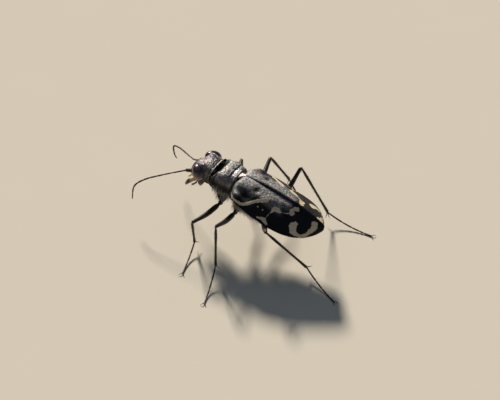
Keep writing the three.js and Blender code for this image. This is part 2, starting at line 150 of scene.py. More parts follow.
# Bends of each feeler above the floor, from its socket to its tip, and where its joints lie
FEELERS = {
    "left": ((0.87, -4.01, 5.14), (0.93, -4.44, 5.11), (1.22, -5.21, 4.79), (1.73, -6.44, 4.24),
             (2.27, -7.65, 3.62), (2.76, -8.32, 2.96), (3.14, -8.28, 1.92)),
    "right": ((-0.87, -4.01, 5.14), (-1.07, -5.01, 4.49), (-1.39, -5.69, 4.27), (-2.24, -7.26, 3.86),
              (-2.48, -7.99, 3.53), (-2.67, -8.07, 2.6), (-2.9, -8.01, 1.97)),
}
FEELER_JOINTS = (0.095, 0.13, 0.27, 0.38, 0.48, 0.575, 0.67, 0.755, 0.84, 0.92)

# Half widths of limbs, as (share of the length, half width)
FEMUR_GIRTH = ((0, 0.17), (0.05, 0.19), (0.1, 0.12), (0.16, 0.18), (0.35, 0.215), (0.6, 0.2),
               (0.85, 0.155), (0.95, 0.145), (1, 0.12))
TIBIA_GIRTH = ((0, 0.085), (0.05, 0.075), (0.12, 0.1), (0.5, 0.092), (0.85, 0.1), (1, 0.125))
FEELER_GIRTH = ((0, 0.11), (0.03, 0.15), (0.08, 0.14), (0.1, 0.09), (0.15, 0.075), (0.5, 0.07),
                (0.9, 0.06), (1, 0.04))

# Meshes: stations along each grid and points round it, and stations along each path
GRIDS = {"shield": (150, 132), "underbody": (190, 120), "head": (170, 168), "eye": (64, 72), "jaw": (60, 28),
         "tooth": (12, 14), "maxilla": (30, 30), "lip": (44, 60), "small_plate": (40, 40), "coxa": (60, 56)}
STATIONS = {"thigh": 90, "shin": 70, "spur": 14, "foot": 130, "claw": 16, "feeler": 330, "palp": 60}

# Bristles and hairs: each length of a leg is given the node it stands for, the size of its bristles,
# the mm from one to the next, the stretch over which they set in, as shares of its length, and how
# low they may aim. ALL_ALONG sets in before the start, and ANY_AIM leaves every direction. A bristle
# stands BRISTLE_TURN radians round from the last, and HAIR_PATCH is a hair's size on the bake map.
ALL_ALONG = (-1, 0)
ANY_AIM = -9.0
LENGTHS = {
    "thigh": ("femur", 0.9, 0.09, (0.1, 0.3)),
    "shin": ("tibia", 1.0, 0.07),
    "foot": ("tarsus", 0.45, 0.06, ALL_ALONG, 0.1),
}
BRISTLE_TURN = 2.4
SPIKE_SIDES = 3
SPIKE_JOINTS = 4
HAIR_PATCH = 0.003

# Cream marks of a wing case: strokes of (share of the way from seam to edge, mm from the base,
# half width in mm). Those that join the main ones differ from side to side.
LUNULE = ((0.84, 0.3, 0.08), (0.93, 0.52, 0.1), (0.95, 1.0, 0.11), (0.925, 1.45, 0.12),
          (0.85, 1.85, 0.14), (0.745, 2.13, 0.15), (0.65, 2.42, 0.14), (0.58, 2.68, 0.15),
          (0.51, 2.93, 0.18), (0.46, 3.15, 0.19))
BAND_EDGE = ((0.93, 3.15, 0.04), (0.895, 3.5, 0.12), (0.89, 3.78, 0.17), (0.94, 4.15, 0.05))
BAND_TAIL = ((0.88, 3.78, 0.03), (0.775, 3.83, 0.02), (0.698, 3.9, 0.03), (0.615, 3.99, 0.06))
BAND_ARCH = ((0.63, 3.97, 0.06), (0.57, 4.02, 0.14), (0.5, 4.1, 0.2), (0.49, 4.32, 0.19),
             (0.495, 4.55, 0.1))
SPOT = ((0.33, 5.4, 0.22), (0.29, 5.3, 0.19))
SPOT_LOBE = ((0.18, 5.38, 0.16), (0.15, 5.56, 0.18))
APICAL_HEAD = ((0.57, 6.07, 0.2), (0.66, 6.02, 0.32), (0.8, 6.18, 0.26), (0.88, 6.5, 0.17))
APICAL_END = ((0.77, 7.26, 0.16), (0.58, 7.36, 0.22), (0.4, 7.42, 0.25), (0.3, 7.33, 0.26),
              (0.24, 7.22, 0.18))
DOTS = (((0.718, 2.79, 0.04), (0.718, 2.82, 0.04)), ((0.708, 3.29, 0.05), (0.708, 3.32, 0.05)))
MARKS = (LUNULE, BAND_EDGE, BAND_TAIL, BAND_ARCH, SPOT, SPOT_LOBE, APICAL_HEAD, APICAL_END, *DOTS)
SIDE_MARKS = {
    "left": (((0.478, 4.67, 0.01), (0.45, 4.89, 0.015), (0.4, 5.13, 0.05)),
             ((0.88, 6.5, 0.17), (0.925, 6.83, 0.13), (0.89, 7.1, 0.13), (0.77, 7.26, 0.16))),
    "right": (((0.52, 4.1, 0.27), (0.47, 4.3, 0.33), (0.45, 4.57, 0.13), (0.43, 4.82, 0.07),
               (0.37, 5.15, 0.1), (0.3, 5.4, 0.2)),
              ((0.52, 2.95, 0.22), (0.43, 3.22, 0.23)),
              ((0.9, 6.5, 0.1), (0.96, 6.83, 0.03), (0.92, 7.15, 0.03), (0.77, 7.26, 0.1))),
}

# Colours: the glints of the plates' grains, the limbs, and the light, as (height, colour) for the sky
CASE_GLINTS = ((0.11, 0.11, 0.12), (0.25, 0.2, 0.235), (0.17, 0.21, 0.19), (0.27, 0.235, 0.2),
               (0.16, 0.17, 0.22), (0.33, 0.325, 0.335))
PLATE_GLINTS = ((0.12, 0.118, 0.128), (0.25, 0.2, 0.24), (0.17, 0.21, 0.185), (0.27, 0.23, 0.19),
                (0.17, 0.175, 0.225), (0.29, 0.28, 0.3))
FLANK_GLINTS = ((0.05, 0.035, 0.03), (0.09, 0.05, 0.035), (0.05, 0.06, 0.04), (0.06, 0.035, 0.05))
COPPER_GLINTS = ((0.5, 0.42, 0.4), (0.36, 0.27, 0.26))
PLATE_METAL = 0.8
LIMB_COLOURS = ((0.014, 0.011, 0.012), (0.05, 0.028, 0.035), (0.1, 0.08, 0.075))
SUN_COLOUR = (1.0, 0.925, 0.79)
SUN_SPREAD = math.radians(9)
SKY = ((0, (0.13, 0.145, 0.18)), (0.5, (0.42, 0.52, 0.68)), (1, (0.72, 0.86, 1.0)))

# Camera: the direction and scale of the photograph's view in mm. Floor: half its side, in m.
VIEW_TURN = math.radians(122.76)
VIEW_HEIGHT = math.radians(40.72)
VIEW_WIDTH = 39.45
VIEW_DISTANCE = 600.0
VIEW_AIM = (0.698, -2.157)
SENSOR = 36.0
FLOOR_REACH = 3.0


# Small helpers of shape
def on_body(x, y, z):
    """Places in the beetle's own axes, as places above the floor, in mm."""
    x, y, z = np.broadcast_arrays(x, y, z)
    cos, sin = math.cos(PITCH), math.sin(PITCH)
    return np.stack([x, y * cos + z * sin, LIFT - y * sin + z * cos], -1)


def to_body(points):
    """The reverse of on_body."""
    cos, sin = math.cos(PITCH), math.sin(PITCH)
    x, y, z = points[..., 0], points[..., 1], points[..., 2] - LIFT
    return x, y * cos - z * sin, y * sin + z * cos


def body_way(x, y, z):
    """A direction in the beetle's own axes, as a direction above the floor."""
    return on_body(x, y, z) - on_body(0, 0, 0)


def bell(value, centre, spread):
    return np.exp(-(((value - centre) / spread) ** 2))


def ease(value, start, end):
    t = np.clip((value - start) / (end - start), 0, 1)
    return t * t * (3 - 2 * t)


def unit(vectors):
    return vectors / np.maximum(np.linalg.norm(vectors, axis=-1, keepdims=True), TINY)


def dome(t, ends):
    """Draws the first and last stretch of a sweep in to a rounded end."""
    edge = np.clip(np.minimum(t, 1 - t) / ends, 0, 1)
    return np.sqrt(1 - (1 - edge) ** 2) * 0.9 + 0.1


def smooth_through(stops, t):
    """Smooth curve of a value through (share, value) stops."""
    stops = np.asarray(stops, float)
    slopes = np.gradient(stops[:, 1], stops[:, 0])
    k = np.clip(np.searchsorted(stops[:, 0], t, side="right") - 1, 0, len(stops) - 2)
    span = stops[k + 1, 0] - stops[k, 0]
    s = (t - stops[k, 0]) / span
    a, b = stops[k, 1], stops[k + 1, 1]
    return (a * (1 + 2 * s) * (1 - s) ** 2 + b * s * s * (3 - 2 * s)
            + span * (slopes[k] * s * (1 - s) ** 2 - slopes[k + 1] * s * s * (1 - s)))


def spline(points, count):
    """Smooth curve through points, as count places at even steps of length."""
    points = np.asarray(points, float)
    padded = np.vstack([2 * points[0] - points[1], points, 2 * points[-1] - points[-2]])
    t = np.linspace(0, 1, 24, endpoint=False)[:, None]
    parts = []
    for a, b, c, d in zip(padded, padded[1:], padded[2:], padded[3:]):
        bend, twist = 2 * a - 5 * b + 4 * c - d, 3 * b - a - 3 * c + d
        parts.append((2 * b + (c - a) * t + bend * t ** 2 + twist * t ** 3) / 2)
    dense = np.vstack([*parts, points[-1:]])
    length = np.concatenate([[0], np.cumsum(np.linalg.norm(np.diff(dense, axis=0), axis=1))])
    even = np.linspace(0, length[-1], count)
    return np.stack([np.interp(even, length, dense[:, k]) for k in range(3)], -1)


def squared_circle(sides, power):
    angle = np.linspace(0, 2 * math.pi, sides, endpoint=False)
    cos, sin = np.cos(angle), np.sin(angle)
    power = np.asarray(power)
    return (np.sign(cos) * np.abs(cos) ** (2 / power), np.sign(sin) * np.abs(sin) ** (2 / power))


def sweep(path, wide, high, sides, power=2.0, across=LEFT):
    """Rings round a path, of the given half widths and half heights, wide along across."""
    along = unit(np.gradient(path, axis=0))
    sideways = unit(across - (along * across).sum(-1, keepdims=True) * along)
    upright = np.cross(along, sideways)
    spread, rise = squared_circle(sides, power)
    rings = path[:, None] + sideways[:, None] * (np.asarray(wide)[:, None] * spread)[..., None]
    return rings + upright[:, None] * (np.asarray(high)[:, None] * rise)[..., None]


def body_path(points, count, side=1):
    """Smooth curve through points in the beetle's own axes, mirrored on the right side."""
    return spline([on_body(side * x, y, z) for x, y, z in points], count)


def grid_of(name):
    """Stations along a grid, points round it, and the share of its length at each station."""
    stations, sides = GRIDS[name]
    return stations, sides, np.linspace(0, 1, stations)


def body_rings(sections, stations, sides, roof=None):
    """Rings of the body through a table of sections, eased from one to the next."""
    table = np.asarray(sections, float)
    turn = (1 - np.cos(np.linspace(0, math.pi, stations))) / 2
    y = table[0, 0] + (table[-1, 0] - table[0, 0]) * turn
    index = np.clip(np.searchsorted(table[:, 0], y, side="right") - 1, 0, len(table) - 2)
    before, after = table[index], table[index + 1]
    t = ease(y, before[:, 0], after[:, 0])[:, None]
    width, top, bottom, power, waist = (before + (after - before) * t)[:, 1:].T[:, :, None]
    spread, rise = squared_circle(sides, power)
    narrow = np.where(rise < 0, 1 - waist * rise ** 2, 1)
    x = width * narrow * spread
    z = (top + bottom) / 2 + (top - bottom) / 2 * rise
    y = np.broadcast_to(y[:, None], x.shape)
    if roof:
        z = np.minimum(z, roof(np.abs(x), y))
    return on_body(x, y, z)


def push(rings, amount):
    """Moves the points of a grid of rings outward by amounts in mm."""
    around = np.roll(rings, -1, 1) - np.roll(rings, 1, 1)
    normal = unit(np.cross(around, np.gradient(rings, axis=0)))
    outward = rings - rings.mean(1, keepdims=True)
    normal *= np.sign((normal * outward).sum(-1).mean())
    return rings + normal * amount[..., None]


# Making of pieces
def shown(name, data):
    """A new object in the scene."""
    made = bpy.data.objects.new(name, data)
    bpy.context.scene.collection.objects.link(made)
    return made


def keep(mesh, label, values):
    """Stores a number or a vector for each point of a mesh."""
    values = np.asarray(values, np.float32)
    kind, slot = ("FLOAT_VECTOR", "vector") if values.ndim == 2 else ("FLOAT", "value")
    mesh.attributes.new(label, kind, "POINT").data.foreach_set(slot, values.ravel())


def place(name, mesh, *finishes):
    """Puts a mesh in the scene with its finishes, smooth."""
    mesh.name = name
    for finish in finishes:
        if finish.name not in [m.name for m in mesh.materials if m]:
            mesh.materials.append(finish)
    mesh.polygons.foreach_set("use_smooth", [True] * len(mesh.polygons))
    mesh.update()
    return shown(name, mesh)


def skin(name, grids, finish, **fields):
    """Closed piece through one or more grids of rings, with a pole at each end. Fields are values
    for each point of the first grid, kept as attributes, and 1 on the others."""
    grids = [grids] if isinstance(grids, np.ndarray) else grids
    points, faces, start = [], [], 0
    for rings in grids:
        rows, count = rings.shape[:2]
        flat = rings.reshape(-1, 3)
        ring = np.arange(count)
        after = (ring + 1) % count
        rise = np.arange(rows - 1)[:, None] * count
        quads = np.stack([rise + ring, rise + after, rise + count + after, rise + count + ring], -1)
        quads = quads.reshape(-1, 4)
        last = (rows - 1) * count
        first_fan = np.stack([after, ring, np.full(count, len(flat))], -1)
        last_fan = np.stack([last + ring, last + after, np.full(count, len(flat) + 1)], -1)
        a, b, c = (flat[quads[:, k]] - flat.mean(0) for k in (0, 1, 2))
        way = -1 if (a * np.cross(b, c)).sum() < 0 else 1
        for block in (quads, first_fan, last_fan):
            faces += (block[:, ::way] + start).tolist()
        points += [flat, [rings[0].mean(0), rings[-1].mean(0)]]
        start += len(flat) + 2
    mesh = bpy.data.meshes.new(name)
    mesh.from_pydata(((np.concatenate(points) - MIDDLE) * MM).tolist(), [], faces)
    for label, values in fields.items():
        values = np.asarray(values, np.float32)
        ends = np.stack([values[0].mean(0), values[-1].mean(0)])
        flat = np.concatenate([values.reshape(-1, *values.shape[2:]), ends])
        rest = np.ones((len(mesh.vertices) - len(flat), *flat.shape[1:]), np.float32)
        keep(mesh, label, np.concatenate([flat, rest]))
    return place(name, mesh, finish)


def stand_for(piece, slot, *nodes):
    """Fixes a piece to the body, in place of the nodes that it stands for."""
    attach(piece, "root")
    if nodes:
        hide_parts(*nodes)
    return piece


# Nodes
def node(tree, kind, inputs=None, **settings):
    """Adds a node, sets it and links or fills its inputs. A node as an input gives its first output."""
    made = tree.nodes.new(kind)
    for key, value in settings.items():
        setattr(made, key, value)
    for key, value in (inputs or {}).items():
        if isinstance(value, bpy.types.Node):
            value = value.outputs[0]
        if isinstance(value, bpy.types.NodeSocket):
            tree.links.new(value, made.inputs[key])
        else:
            made.inputs[key].default_value = value
    return made


def maths(tree, operation, first, second, third=0.0):
    return node(tree, "ShaderNodeMath", {0: first, 1: second, 2: third}, operation=operation).outputs[0]


def vectors(tree, operation, first, second=None, scale=None):
    inputs = {0: first}
    if second is not None:
        inputs[1] = second
    if scale is not None:
        inputs["Scale"] = scale
    return node(tree, "ShaderNodeVectorMath", inputs, operation=operation).outputs[0]


def random_between(tree, low, high, seed):
    """A random number, or a random vector where low and high are tuples."""
    wide = isinstance(low, tuple)
    inputs = {0 if wide else 2: low, 1 if wide else 3: high, "Seed": seed}
    made = node(tree, "FunctionNodeRandomValue", inputs, data_type="FLOAT_VECTOR" if wide else "FLOAT")
    return made.outputs[0 if wide else 1]


# Geometry Nodes
def grow_tree(name, sockets):
    """A new node tree with named inputs, and its first and last node."""
    tree = bpy.data.node_groups.new(name, "GeometryNodeTree")
    tree.interface.new_socket("Geometry", in_out="OUTPUT", socket_type="NodeSocketGeometry")
    tree.interface.new_socket("Geometry", in_out="INPUT", socket_type="NodeSocketGeometry")
    for label, kind, value in sockets:
        socket = tree.interface.new_socket(label, in_out="INPUT", socket_type="NodeSocket" + kind)
        if value is not None:
            socket.default_value = value
    return tree, tree.nodes.new("NodeGroupInput").outputs, tree.nodes.new("NodeGroupOutput")


def attribute(tree, name, kind="FLOAT"):
    return node(tree, "GeometryNodeInputNamedAttribute", {"Name": name}, data_type=kind).outputs["Attribute"]


def shape_of(tree, given):
    return node(tree, "GeometryNodeObjectInfo", {"Object": given}).outputs["Geometry"]


def finished(tree, geometry, finish):
    return node(tree, "GeometryNodeSetMaterial", {"Geometry": geometry, "Material": finish})


def limb_tree():
    """Round limb along a path of edges, as thick as its attribute girth, with rows of bristles."""
    tree, given, end = grow_tree("Limb", (
        ("Sides", "Int", 20), ("Bristle step", "Float", 0.2 * MM), ("Bristle size", "Float", 1.0),
        ("Bristle lean", "Float", 0.8), ("Lowest aim", "Float", ANY_AIM), ("Bristle", "Object", None),
        ("Finish", "Material", None), ("Bristle finish", "Material", None)))
    curve = node(tree, "GeometryNodeMeshToCurve", {"Mesh": given["Geometry"]})
    ring = node(tree, "GeometryNodeCurvePrimitiveCircle", {"Resolution": given["Sides"], "Radius": 1.0})
    tube = node(tree, "GeometryNodeCurveToMesh",
                {"Curve": curve, "Profile Curve": ring, "Scale": attribute(tree, "girth"), "Fill Caps": True})
    steps = node(tree, "GeometryNodeResampleCurve",
                 {"Curve": curve, "Length": given["Bristle step"]}, mode="LENGTH")
    tangent = node(tree, "GeometryNodeInputTangent").outputs[0]
    turn = maths(tree, "MULTIPLY", node(tree, "GeometryNodeInputIndex"), BRISTLE_TURN)
    radial = node(tree, "ShaderNodeVectorRotate",
                  {"Vector": node(tree, "GeometryNodeInputNormal"), "Axis": tangent, "Angle": turn})
    lean = vectors(tree, "SCALE", tangent, scale=given["Bristle lean"])
    aim = vectors(tree, "ADD", radial, lean)
    aim = vectors(tree, "ADD", aim, random_between(tree, (-0.25,) * 3, (0.25,) * 3, 3))
    floor = node(tree, "ShaderNodeCombineXYZ", {"X": ANY_AIM, "Y": ANY_AIM, "Z": given["Lowest aim"]})
    turned = node(tree, "FunctionNodeAlignRotationToVector",
                  {"Vector": vectors(tree, "MAXIMUM", aim, floor)}, axis="Z")
    bristly = attribute(tree, "bristly")
    size = maths(tree, "MULTIPLY", random_between(tree, 0.7, 1.15, 5), given["Bristle size"])
    spines = node(tree, "GeometryNodeInstanceOnPoints", {
        "Points": steps, "Selection": maths(tree, "GREATER_THAN", bristly, 0.01),
        "Instance": shape_of(tree, given["Bristle"]), "Rotation": turned,
        "Scale": maths(tree, "MULTIPLY", size, bristly)})
    spines = node(tree, "GeometryNodeRealizeInstances", {"Geometry": spines})
    both = node(tree, "GeometryNodeJoinGeometry")
    for part, finish in ((spines, "Bristle finish"), (tube, "Finish")):
        tree.links.new(finished(tree, part, given[finish]).outputs[0], both.inputs[0])
    whole = node(tree, "GeometryNodeRealizeInstances", {"Geometry": both})
    tree.links.new(whole.outputs[0], end.inputs[0])
    return tree


def hair_tree():
    """Hairs rooted on a skin where its attribute hairy says, lying the way of its attribute lie."""
    tree, given, end = grow_tree("Hair coat", (
        ("Hairs per square mm", "Float", 40.0), ("Stand", "Float", 0.6), ("Seed", "Int", 1),
        ("Shortest", "Float", 0.7), ("Longest", "Float", 1.2), ("Hair", "Object", None),
        ("Finish", "Material", None)))
    dense = maths(tree, "MULTIPLY", given["Hairs per square mm"], 1 / MM ** 2)
    dense = maths(tree, "MULTIPLY", dense, attribute(tree, "hairy"))
    roots = node(tree, "GeometryNodeDistributePointsOnFaces",
                 {"Mesh": given["Geometry"], "Density": dense, "Seed": given["Seed"]})
    out = vectors(tree, "SCALE", roots.outputs["Normal"], scale=given["Stand"])
    aim = vectors(tree, "ADD", attribute(tree, "lie", "FLOAT_VECTOR"), out)
    aim = vectors(tree, "ADD", aim, random_between(tree, (-0.35,) * 3, (0.35,) * 3, 7))
    turned = node(tree, "FunctionNodeAlignRotationToVector", {"Vector": aim}, axis="Z")
    twist = node(tree, "FunctionNodeAxisAngleToRotation",
                 {"Angle": random_between(tree, 0.0, 2 * math.pi, 9)})
    turned = node(tree, "FunctionNodeRotateRotation",
                  {"Rotation": turned, "Rotate By": twist}, rotation_space="LOCAL")
    hairs = node(tree, "GeometryNodeInstanceOnPoints", {
        "Points": roots, "Instance": shape_of(tree, given["Hair"]), "Rotation": turned,
        "Scale": random_between(tree, given["Shortest"], given["Longest"], 11)})
    whole = node(tree, "GeometryNodeRealizeInstances", {"Geometry": hairs})
    patch = vectors(tree, "ADD", attribute(tree, "unwrap", "FLOAT_VECTOR"),
                    attribute(tree, "patch", "FLOAT_VECTOR"))
    mapped = node(tree, "GeometryNodeStoreNamedAttribute",
                  {"Geometry": whole, "Name": "OFBake", "Value": patch},
                  data_type="FLOAT2", domain="CORNER")
    tree.links.new(finished(tree, mapped, given["Finish"]).outputs[0], end.inputs[0])
    return tree


def grown(source, tree, name, values, *finishes):
    """Runs a node tree on a mesh and keeps the result as a plain piece."""
    carrier = shown(name + "_source", source)
    modifier = carrier.modifiers.new(tree.name, "NODES")
    modifier.node_group = tree
    sockets = {s.name: s.identifier for s in tree.interface.items_tree if s.in_out == "INPUT"}
    for label, value in values.items():
        modifier[sockets[label]] = value
    depsgraph = bpy.context.evaluated_depsgraph_get()
    depsgraph.update()
    mesh = bpy.data.meshes.new_from_object(
        carrier.evaluated_get(depsgraph), preserve_all_data_layers=True, depsgraph=depsgraph)
    carrier.modifiers.remove(modifier)
    bpy.data.objects.remove(carrier)
    return place(name, mesh, *finishes)


def path_mesh(paths, girths, bristly):
    """Loose edges along paths, with the attributes that the limb tree reads."""
    mesh = bpy.data.meshes.new("paths")
    edges, start = [], 0
    for path in paths:
        edges += [(start + k, start + k + 1) for k in range(len(path) - 1)]
        start += len(path)
    mesh.from_pydata(((np.concatenate(paths) - MIDDLE) * MM).tolist(), edges, [])
    keep(mesh, "girth", np.concatenate(girths) * MM)
    keep(mesh, "bristly", np.concatenate(bristly))
    return mesh


def spike(name, length, half, bend):
    """One hair or bristle, a bent cone that stands on its root along z, in mm."""
    sides, joints = SPIKE_SIDES, SPIKE_JOINTS
    t = np.linspace(0, 1, joints + 1)[:, None]
    angle = np.linspace(0, 2 * math.pi, sides, endpoint=False)
    width = half * (1 - t) ** 0.7
    ring = np.stack([width * np.cos(angle) + bend * t ** 2, width * np.sin(angle),
                     np.broadcast_to(length * t, (joints + 1, sides))], -1)
    points = np.concatenate([ring[:-1].reshape(-1, 3), [[bend, 0, length]]]) * MM
    top = (joints - 1) * sides
    faces = [(j + k, j + (k + 1) % sides, j + sides + (k + 1) % sides, j + sides + k)
             for j in range(0, top, sides) for k in range(sides)]
    faces += [(top + k, top + (k + 1) % sides, len(points) - 1) for k in range(sides)]
    faces.append(tuple(range(sides))[::-1])
    mesh = bpy.data.meshes.new(name)
    mesh.from_pydata(points.tolist(), [], faces)
    patch = np.stack([points[:, 2], points[:, 0], points[:, 2] * 0], -1) / (length * MM)
    keep(mesh, "patch", patch * HAIR_PATCH)
    return place(name, mesh)


# Finishes
def new_material(name, **sockets):
    material = bpy.data.materials.new(name)
    material.use_nodes = True
    tree = material.node_tree
    shader = tree.nodes["Principled BSDF"]
    for label, value in sockets.items():
        shader.inputs[label.replace("_", " ")].default_value = value
    return material, tree, shader


def wire(tree, shader, **outputs):
    """Links outputs to the shader's inputs, whose names have _ for a space."""
    for label, output in outputs.items():
        tree.links.new(output, shader.inputs[label.replace("_", " ")])


def here(tree):
    return node(tree, "ShaderNodeTexCoord").outputs["Object"]


def painted(tree, name, output="Fac"):
    """What an attribute of the piece says."""
    return node(tree, "ShaderNodeAttribute", attribute_name=name).outputs[output]


def noise(tree, size, detail):
    """Noise from 0 to 1 whose patches are about size mm across."""
    inputs = {"Vector": here(tree), "Scale": 1 / (size * MM), "Detail": detail}
    return node(tree, "ShaderNodeTexNoise", inputs).outputs["Fac"]


def cells(tree, size):
    """Cells about size mm across."""
    return node(tree, "ShaderNodeTexVoronoi", {"Vector": here(tree), "Scale": 1 / (size * MM)})


def ramp(tree, factor, stops, interpolation="LINEAR"):
    made = node(tree, "ShaderNodeValToRGB", {"Fac": factor})
    made.color_ramp.interpolation = interpolation
    elements = made.color_ramp.elements
    while len(elements) < len(stops):
        elements.new(0.5)
    for element, (position, colour) in zip(elements, stops):
        element.position = position
        element.color = (*colour, 1)
    return made.outputs["Color"]


def mixed(tree, factor, first, second, kind="RGBA", blend="MIX"):
    """Two colours, or two numbers where the kind is FLOAT, mixed by a factor."""
    slot = {"RGBA": 6, "FLOAT": 2}[kind]
    first, second = ((*value, 1) if isinstance(value, (tuple, list)) else value
                     for value in (first, second))
    made = node(tree, "ShaderNodeMix", {0: factor, slot: first, slot + 1: second},
                data_type=kind, blend_type=blend)
    return made.outputs[2 if kind == "RGBA" else 0]


def step(tree, value, low, high):
    """A soft step of a value, from 0 to 1."""
    made = node(tree, "ShaderNodeMapRange", {"Value": value, "From Min": low, "From Max": high},
                interpolation_type="SMOOTHSTEP")
    return made.outputs[0]


def bump(tree, height, relief, below=None):
    """Bump of a height from 0 to 1, relief mm deep."""
    inputs = {"Height": height, "Distance": relief * MM, "Strength": 1.0}
    if below is not None:
        inputs["Normal"] = below
    return node(tree, "ShaderNodeBump", inputs).outputs[0]


def plate_finish(name, dark, glints, pit, relief, rough=(0.38, 0.6), tilt=0.3, marks=None, share=None):
    """Dark metallic plate with grains that glint in several colours, each tilted its own way. Share is
    how much of the glint shows, or else an attribute paints it: a grey sheen where the key light falls and
    shade elsewhere. Marks is the colour of cream marks."""
    material, tree, shader = new_material(name, IOR=1.5)
    grain = cells(tree, pit)
    away, lean = grain.outputs["Distance"], grain.outputs["Color"]
    hue = node(tree, "ShaderNodeSeparateColor", {"Color": lean}).outputs[0]
    stops = [(k / len(glints), colour) for k, colour in enumerate(glints)]
    spark = ramp(tree, hue, stops, "CONSTANT")
    drift = noise(tree, 0.8, 3)
    even = maths(tree, "MULTIPLY_ADD", step(tree, drift, 0.3, 0.75), 0.25, 0.75)
    # Painted light: the grey glint is painted where the key light falls, and the dark colour stands as
    # painted shade elsewhere
    gleam = share or painted(tree, "gleam")
    colour = mixed(tree, maths(tree, "MULTIPLY", even, gleam), dark, spark)
    rough_value = maths(tree, "MULTIPLY_ADD", noise(tree, 0.12, 2), rough[1] - rough[0], rough[0])
    normal = bump(tree, step(tree, away, 0.1, 0.6), relief)
    normal = bump(tree, noise(tree, 0.35, 2), relief * 2, normal)
    # A painted highlight, and on the head also green and amber tints, added to the colour where an attribute
    # says
    glow = painted(tree, "glow", "Color")
    lean = vectors(tree, "SUBTRACT", lean, (0.5, 0.5, 0.5))
    for share_tilted in (step(tree, glow, 0.9, 0.3), tilt):
        lean = vectors(tree, "SCALE", lean, scale=share_tilted)
    normal = vectors(tree, "NORMALIZE", vectors(tree, "ADD", normal, lean))
    highlight_and_tint_share = maths(tree, "MAXIMUM", step(tree, away, 0.75, 0.2), step(tree, glow, 0.3, 0.9))
    colour = mixed(tree, highlight_and_tint_share, colour, mixed(tree, 1.0, colour, glow, blend="ADD"))
    if marks:
        ragged = maths(tree, "MULTIPLY_ADD", noise(tree, 0.16, 3), 0.22, -0.11)
        mask = step(tree, maths(tree, "ADD", painted(tree, "marks"), ragged), -0.015, 0.02)
        cream = mixed(tree, step(tree, drift, 0.35, 0.7), marks, [c * 0.8 for c in marks])
        cream = mixed(tree, step(tree, away, 0.28, 0.1), cream, [c * 0.55 for c in marks])
        colour = mixed(tree, mask, colour, cream)
        rough_value = mixed(tree, mask, rough_value, 0.5, "FLOAT")
        wire(tree, shader, Metallic=mixed(tree, mask, PLATE_METAL, 0.0, "FLOAT"))
    else:
        shader.inputs["Metallic"].default_value = PLATE_METAL
    wire(tree, shader, Base_Color=colour, Roughness=rough_value, Normal=normal)
    return material


def horn_finish(name, pale, dark, split=None, rough=0.35):
    """Ivory horn, dark past the given share of its attribute along."""
    material, tree, shader = new_material(name, Roughness=rough, Specular_IOR_Level=0.35)
    cloud = noise(tree, 0.18, 3)
    colour = mixed(tree, step(tree, cloud, 0.35, 0.7), pale, [c * 0.72 for c in pale])
    if split:
        along = maths(tree, "MULTIPLY_ADD", cloud, 0.08, painted(tree, "along"))
        colour = mixed(tree, step(tree, along, split, split + 0.12), colour, dark)
    wire(tree, shader, Base_Color=colour, Normal=bump(tree, noise(tree, 0.05, 3), 0.006))
    return material


def eye_finish(colour, floor_reflection_colour):
    """Glossy compound eye with fine facets, dark above, with a brown painted reflection of the floor below.
    """
    material, tree, shader = new_material("eye_facets", Roughness=0.25, Specular_IOR_Level=0.3,
                                          Coat_Weight=0.3, Coat_Roughness=0.12, Coat_IOR=1.3)
    facets = cells(tree, 0.028)
    height = node(tree, "ShaderNodeSeparateXYZ", {"Vector": here(tree)}).outputs["Z"]
    height = maths(tree, "MULTIPLY_ADD", noise(tree, 0.4, 2), 0.3 * MM, height)
    # Painted reflection of the floor on the lower part of the eye
    low = step(tree, height, EYE_REFLECTION_START * MM, EYE_REFLECTION_FULL * MM)
    wire(tree, shader, Base_Color=mixed(tree, low, colour, floor_reflection_colour),
         Normal=bump(tree, facets.outputs["Distance"], 0.003))
    return material


def leg_finish(name, dark, sheen, pale):
    """Black limb with a metal sheen that shifts along it and fine lengthwise wear."""
    material, tree, shader = new_material(name, Metallic=0.5, IOR=1.55)
    shift, grain = noise(tree, 0.7, 2), noise(tree, 0.06, 3)
    colour = mixed(tree, step(tree, shift, 0.4, 0.7), dark, sheen)
    colour = mixed(tree, maths(tree, "MULTIPLY", step(tree, grain, 0.58, 0.75), 0.5), colour, pale)
    wire(tree, shader, Base_Color=colour, Roughness=maths(tree, "MULTIPLY_ADD", grain, 0.25, 0.34),
         Normal=bump(tree, grain, 0.01))
    return material


def cloudy_finish(name, colour, size, detail, fade, **sockets):
    """Matt finish whose colour fades a little in patches of a size in mm."""
    material, tree, shader = new_material(name, **sockets)
    cloud = noise(tree, size, detail)
    wire(tree, shader, Base_Color=mixed(tree, cloud, colour, [c * fade for c in colour]))
    return material


def hair_finish(name, colour):
    return cloudy_finish(name, colour, 0.3, 1, 0.7, Roughness=0.45, IOR=1.5)


# Shapes of the wing cases
def case_profile(y):
    """Height of the seam, half width and fall from seam to edge of the wing cases."""
    v = np.clip(y / CASE_END, 0, 1)
    shoulder = np.maximum(0, 1 - (y - CASE_BASE) / 0.4)
    seam = 0.235 * np.sin(math.pi * v ** 0.9) - 0.59 * v ** 4.5 - 0.22 * shoulder ** 2
    rear = np.clip((v - CASE_WIDEST) / (1 - CASE_WIDEST), 0, 1)
    front = 0.82 + 0.18 * np.sin(math.pi / 2 * np.minimum(v / CASE_WIDEST, 1))
    corner = 1 - 0.12 * np.clip(shoulder, 0, 1) ** 2
    width = CASE_WIDTH * front * corner * (1 - rear ** 3.9) ** 0.92
    fall = (0.98 + 0.6 * np.minimum(v / 0.5, 1)) * (1 - rear ** 1.6) ** 0.33
    return seam, width, fall


def case_round(y):
    """How flat the top runs before it falls to the edge, flat in front and roof-like at the rear."""
    front, rear = CASE_ROUND
    return front + (rear - front) * np.clip((y - 2) / 3, 0, 1)


def base_bulge(x, y):
    return CASE_BULGE * bell(x, 1.1, 0.55) * np.maximum(0, 1 - (y - CASE_BASE) / 1.2)


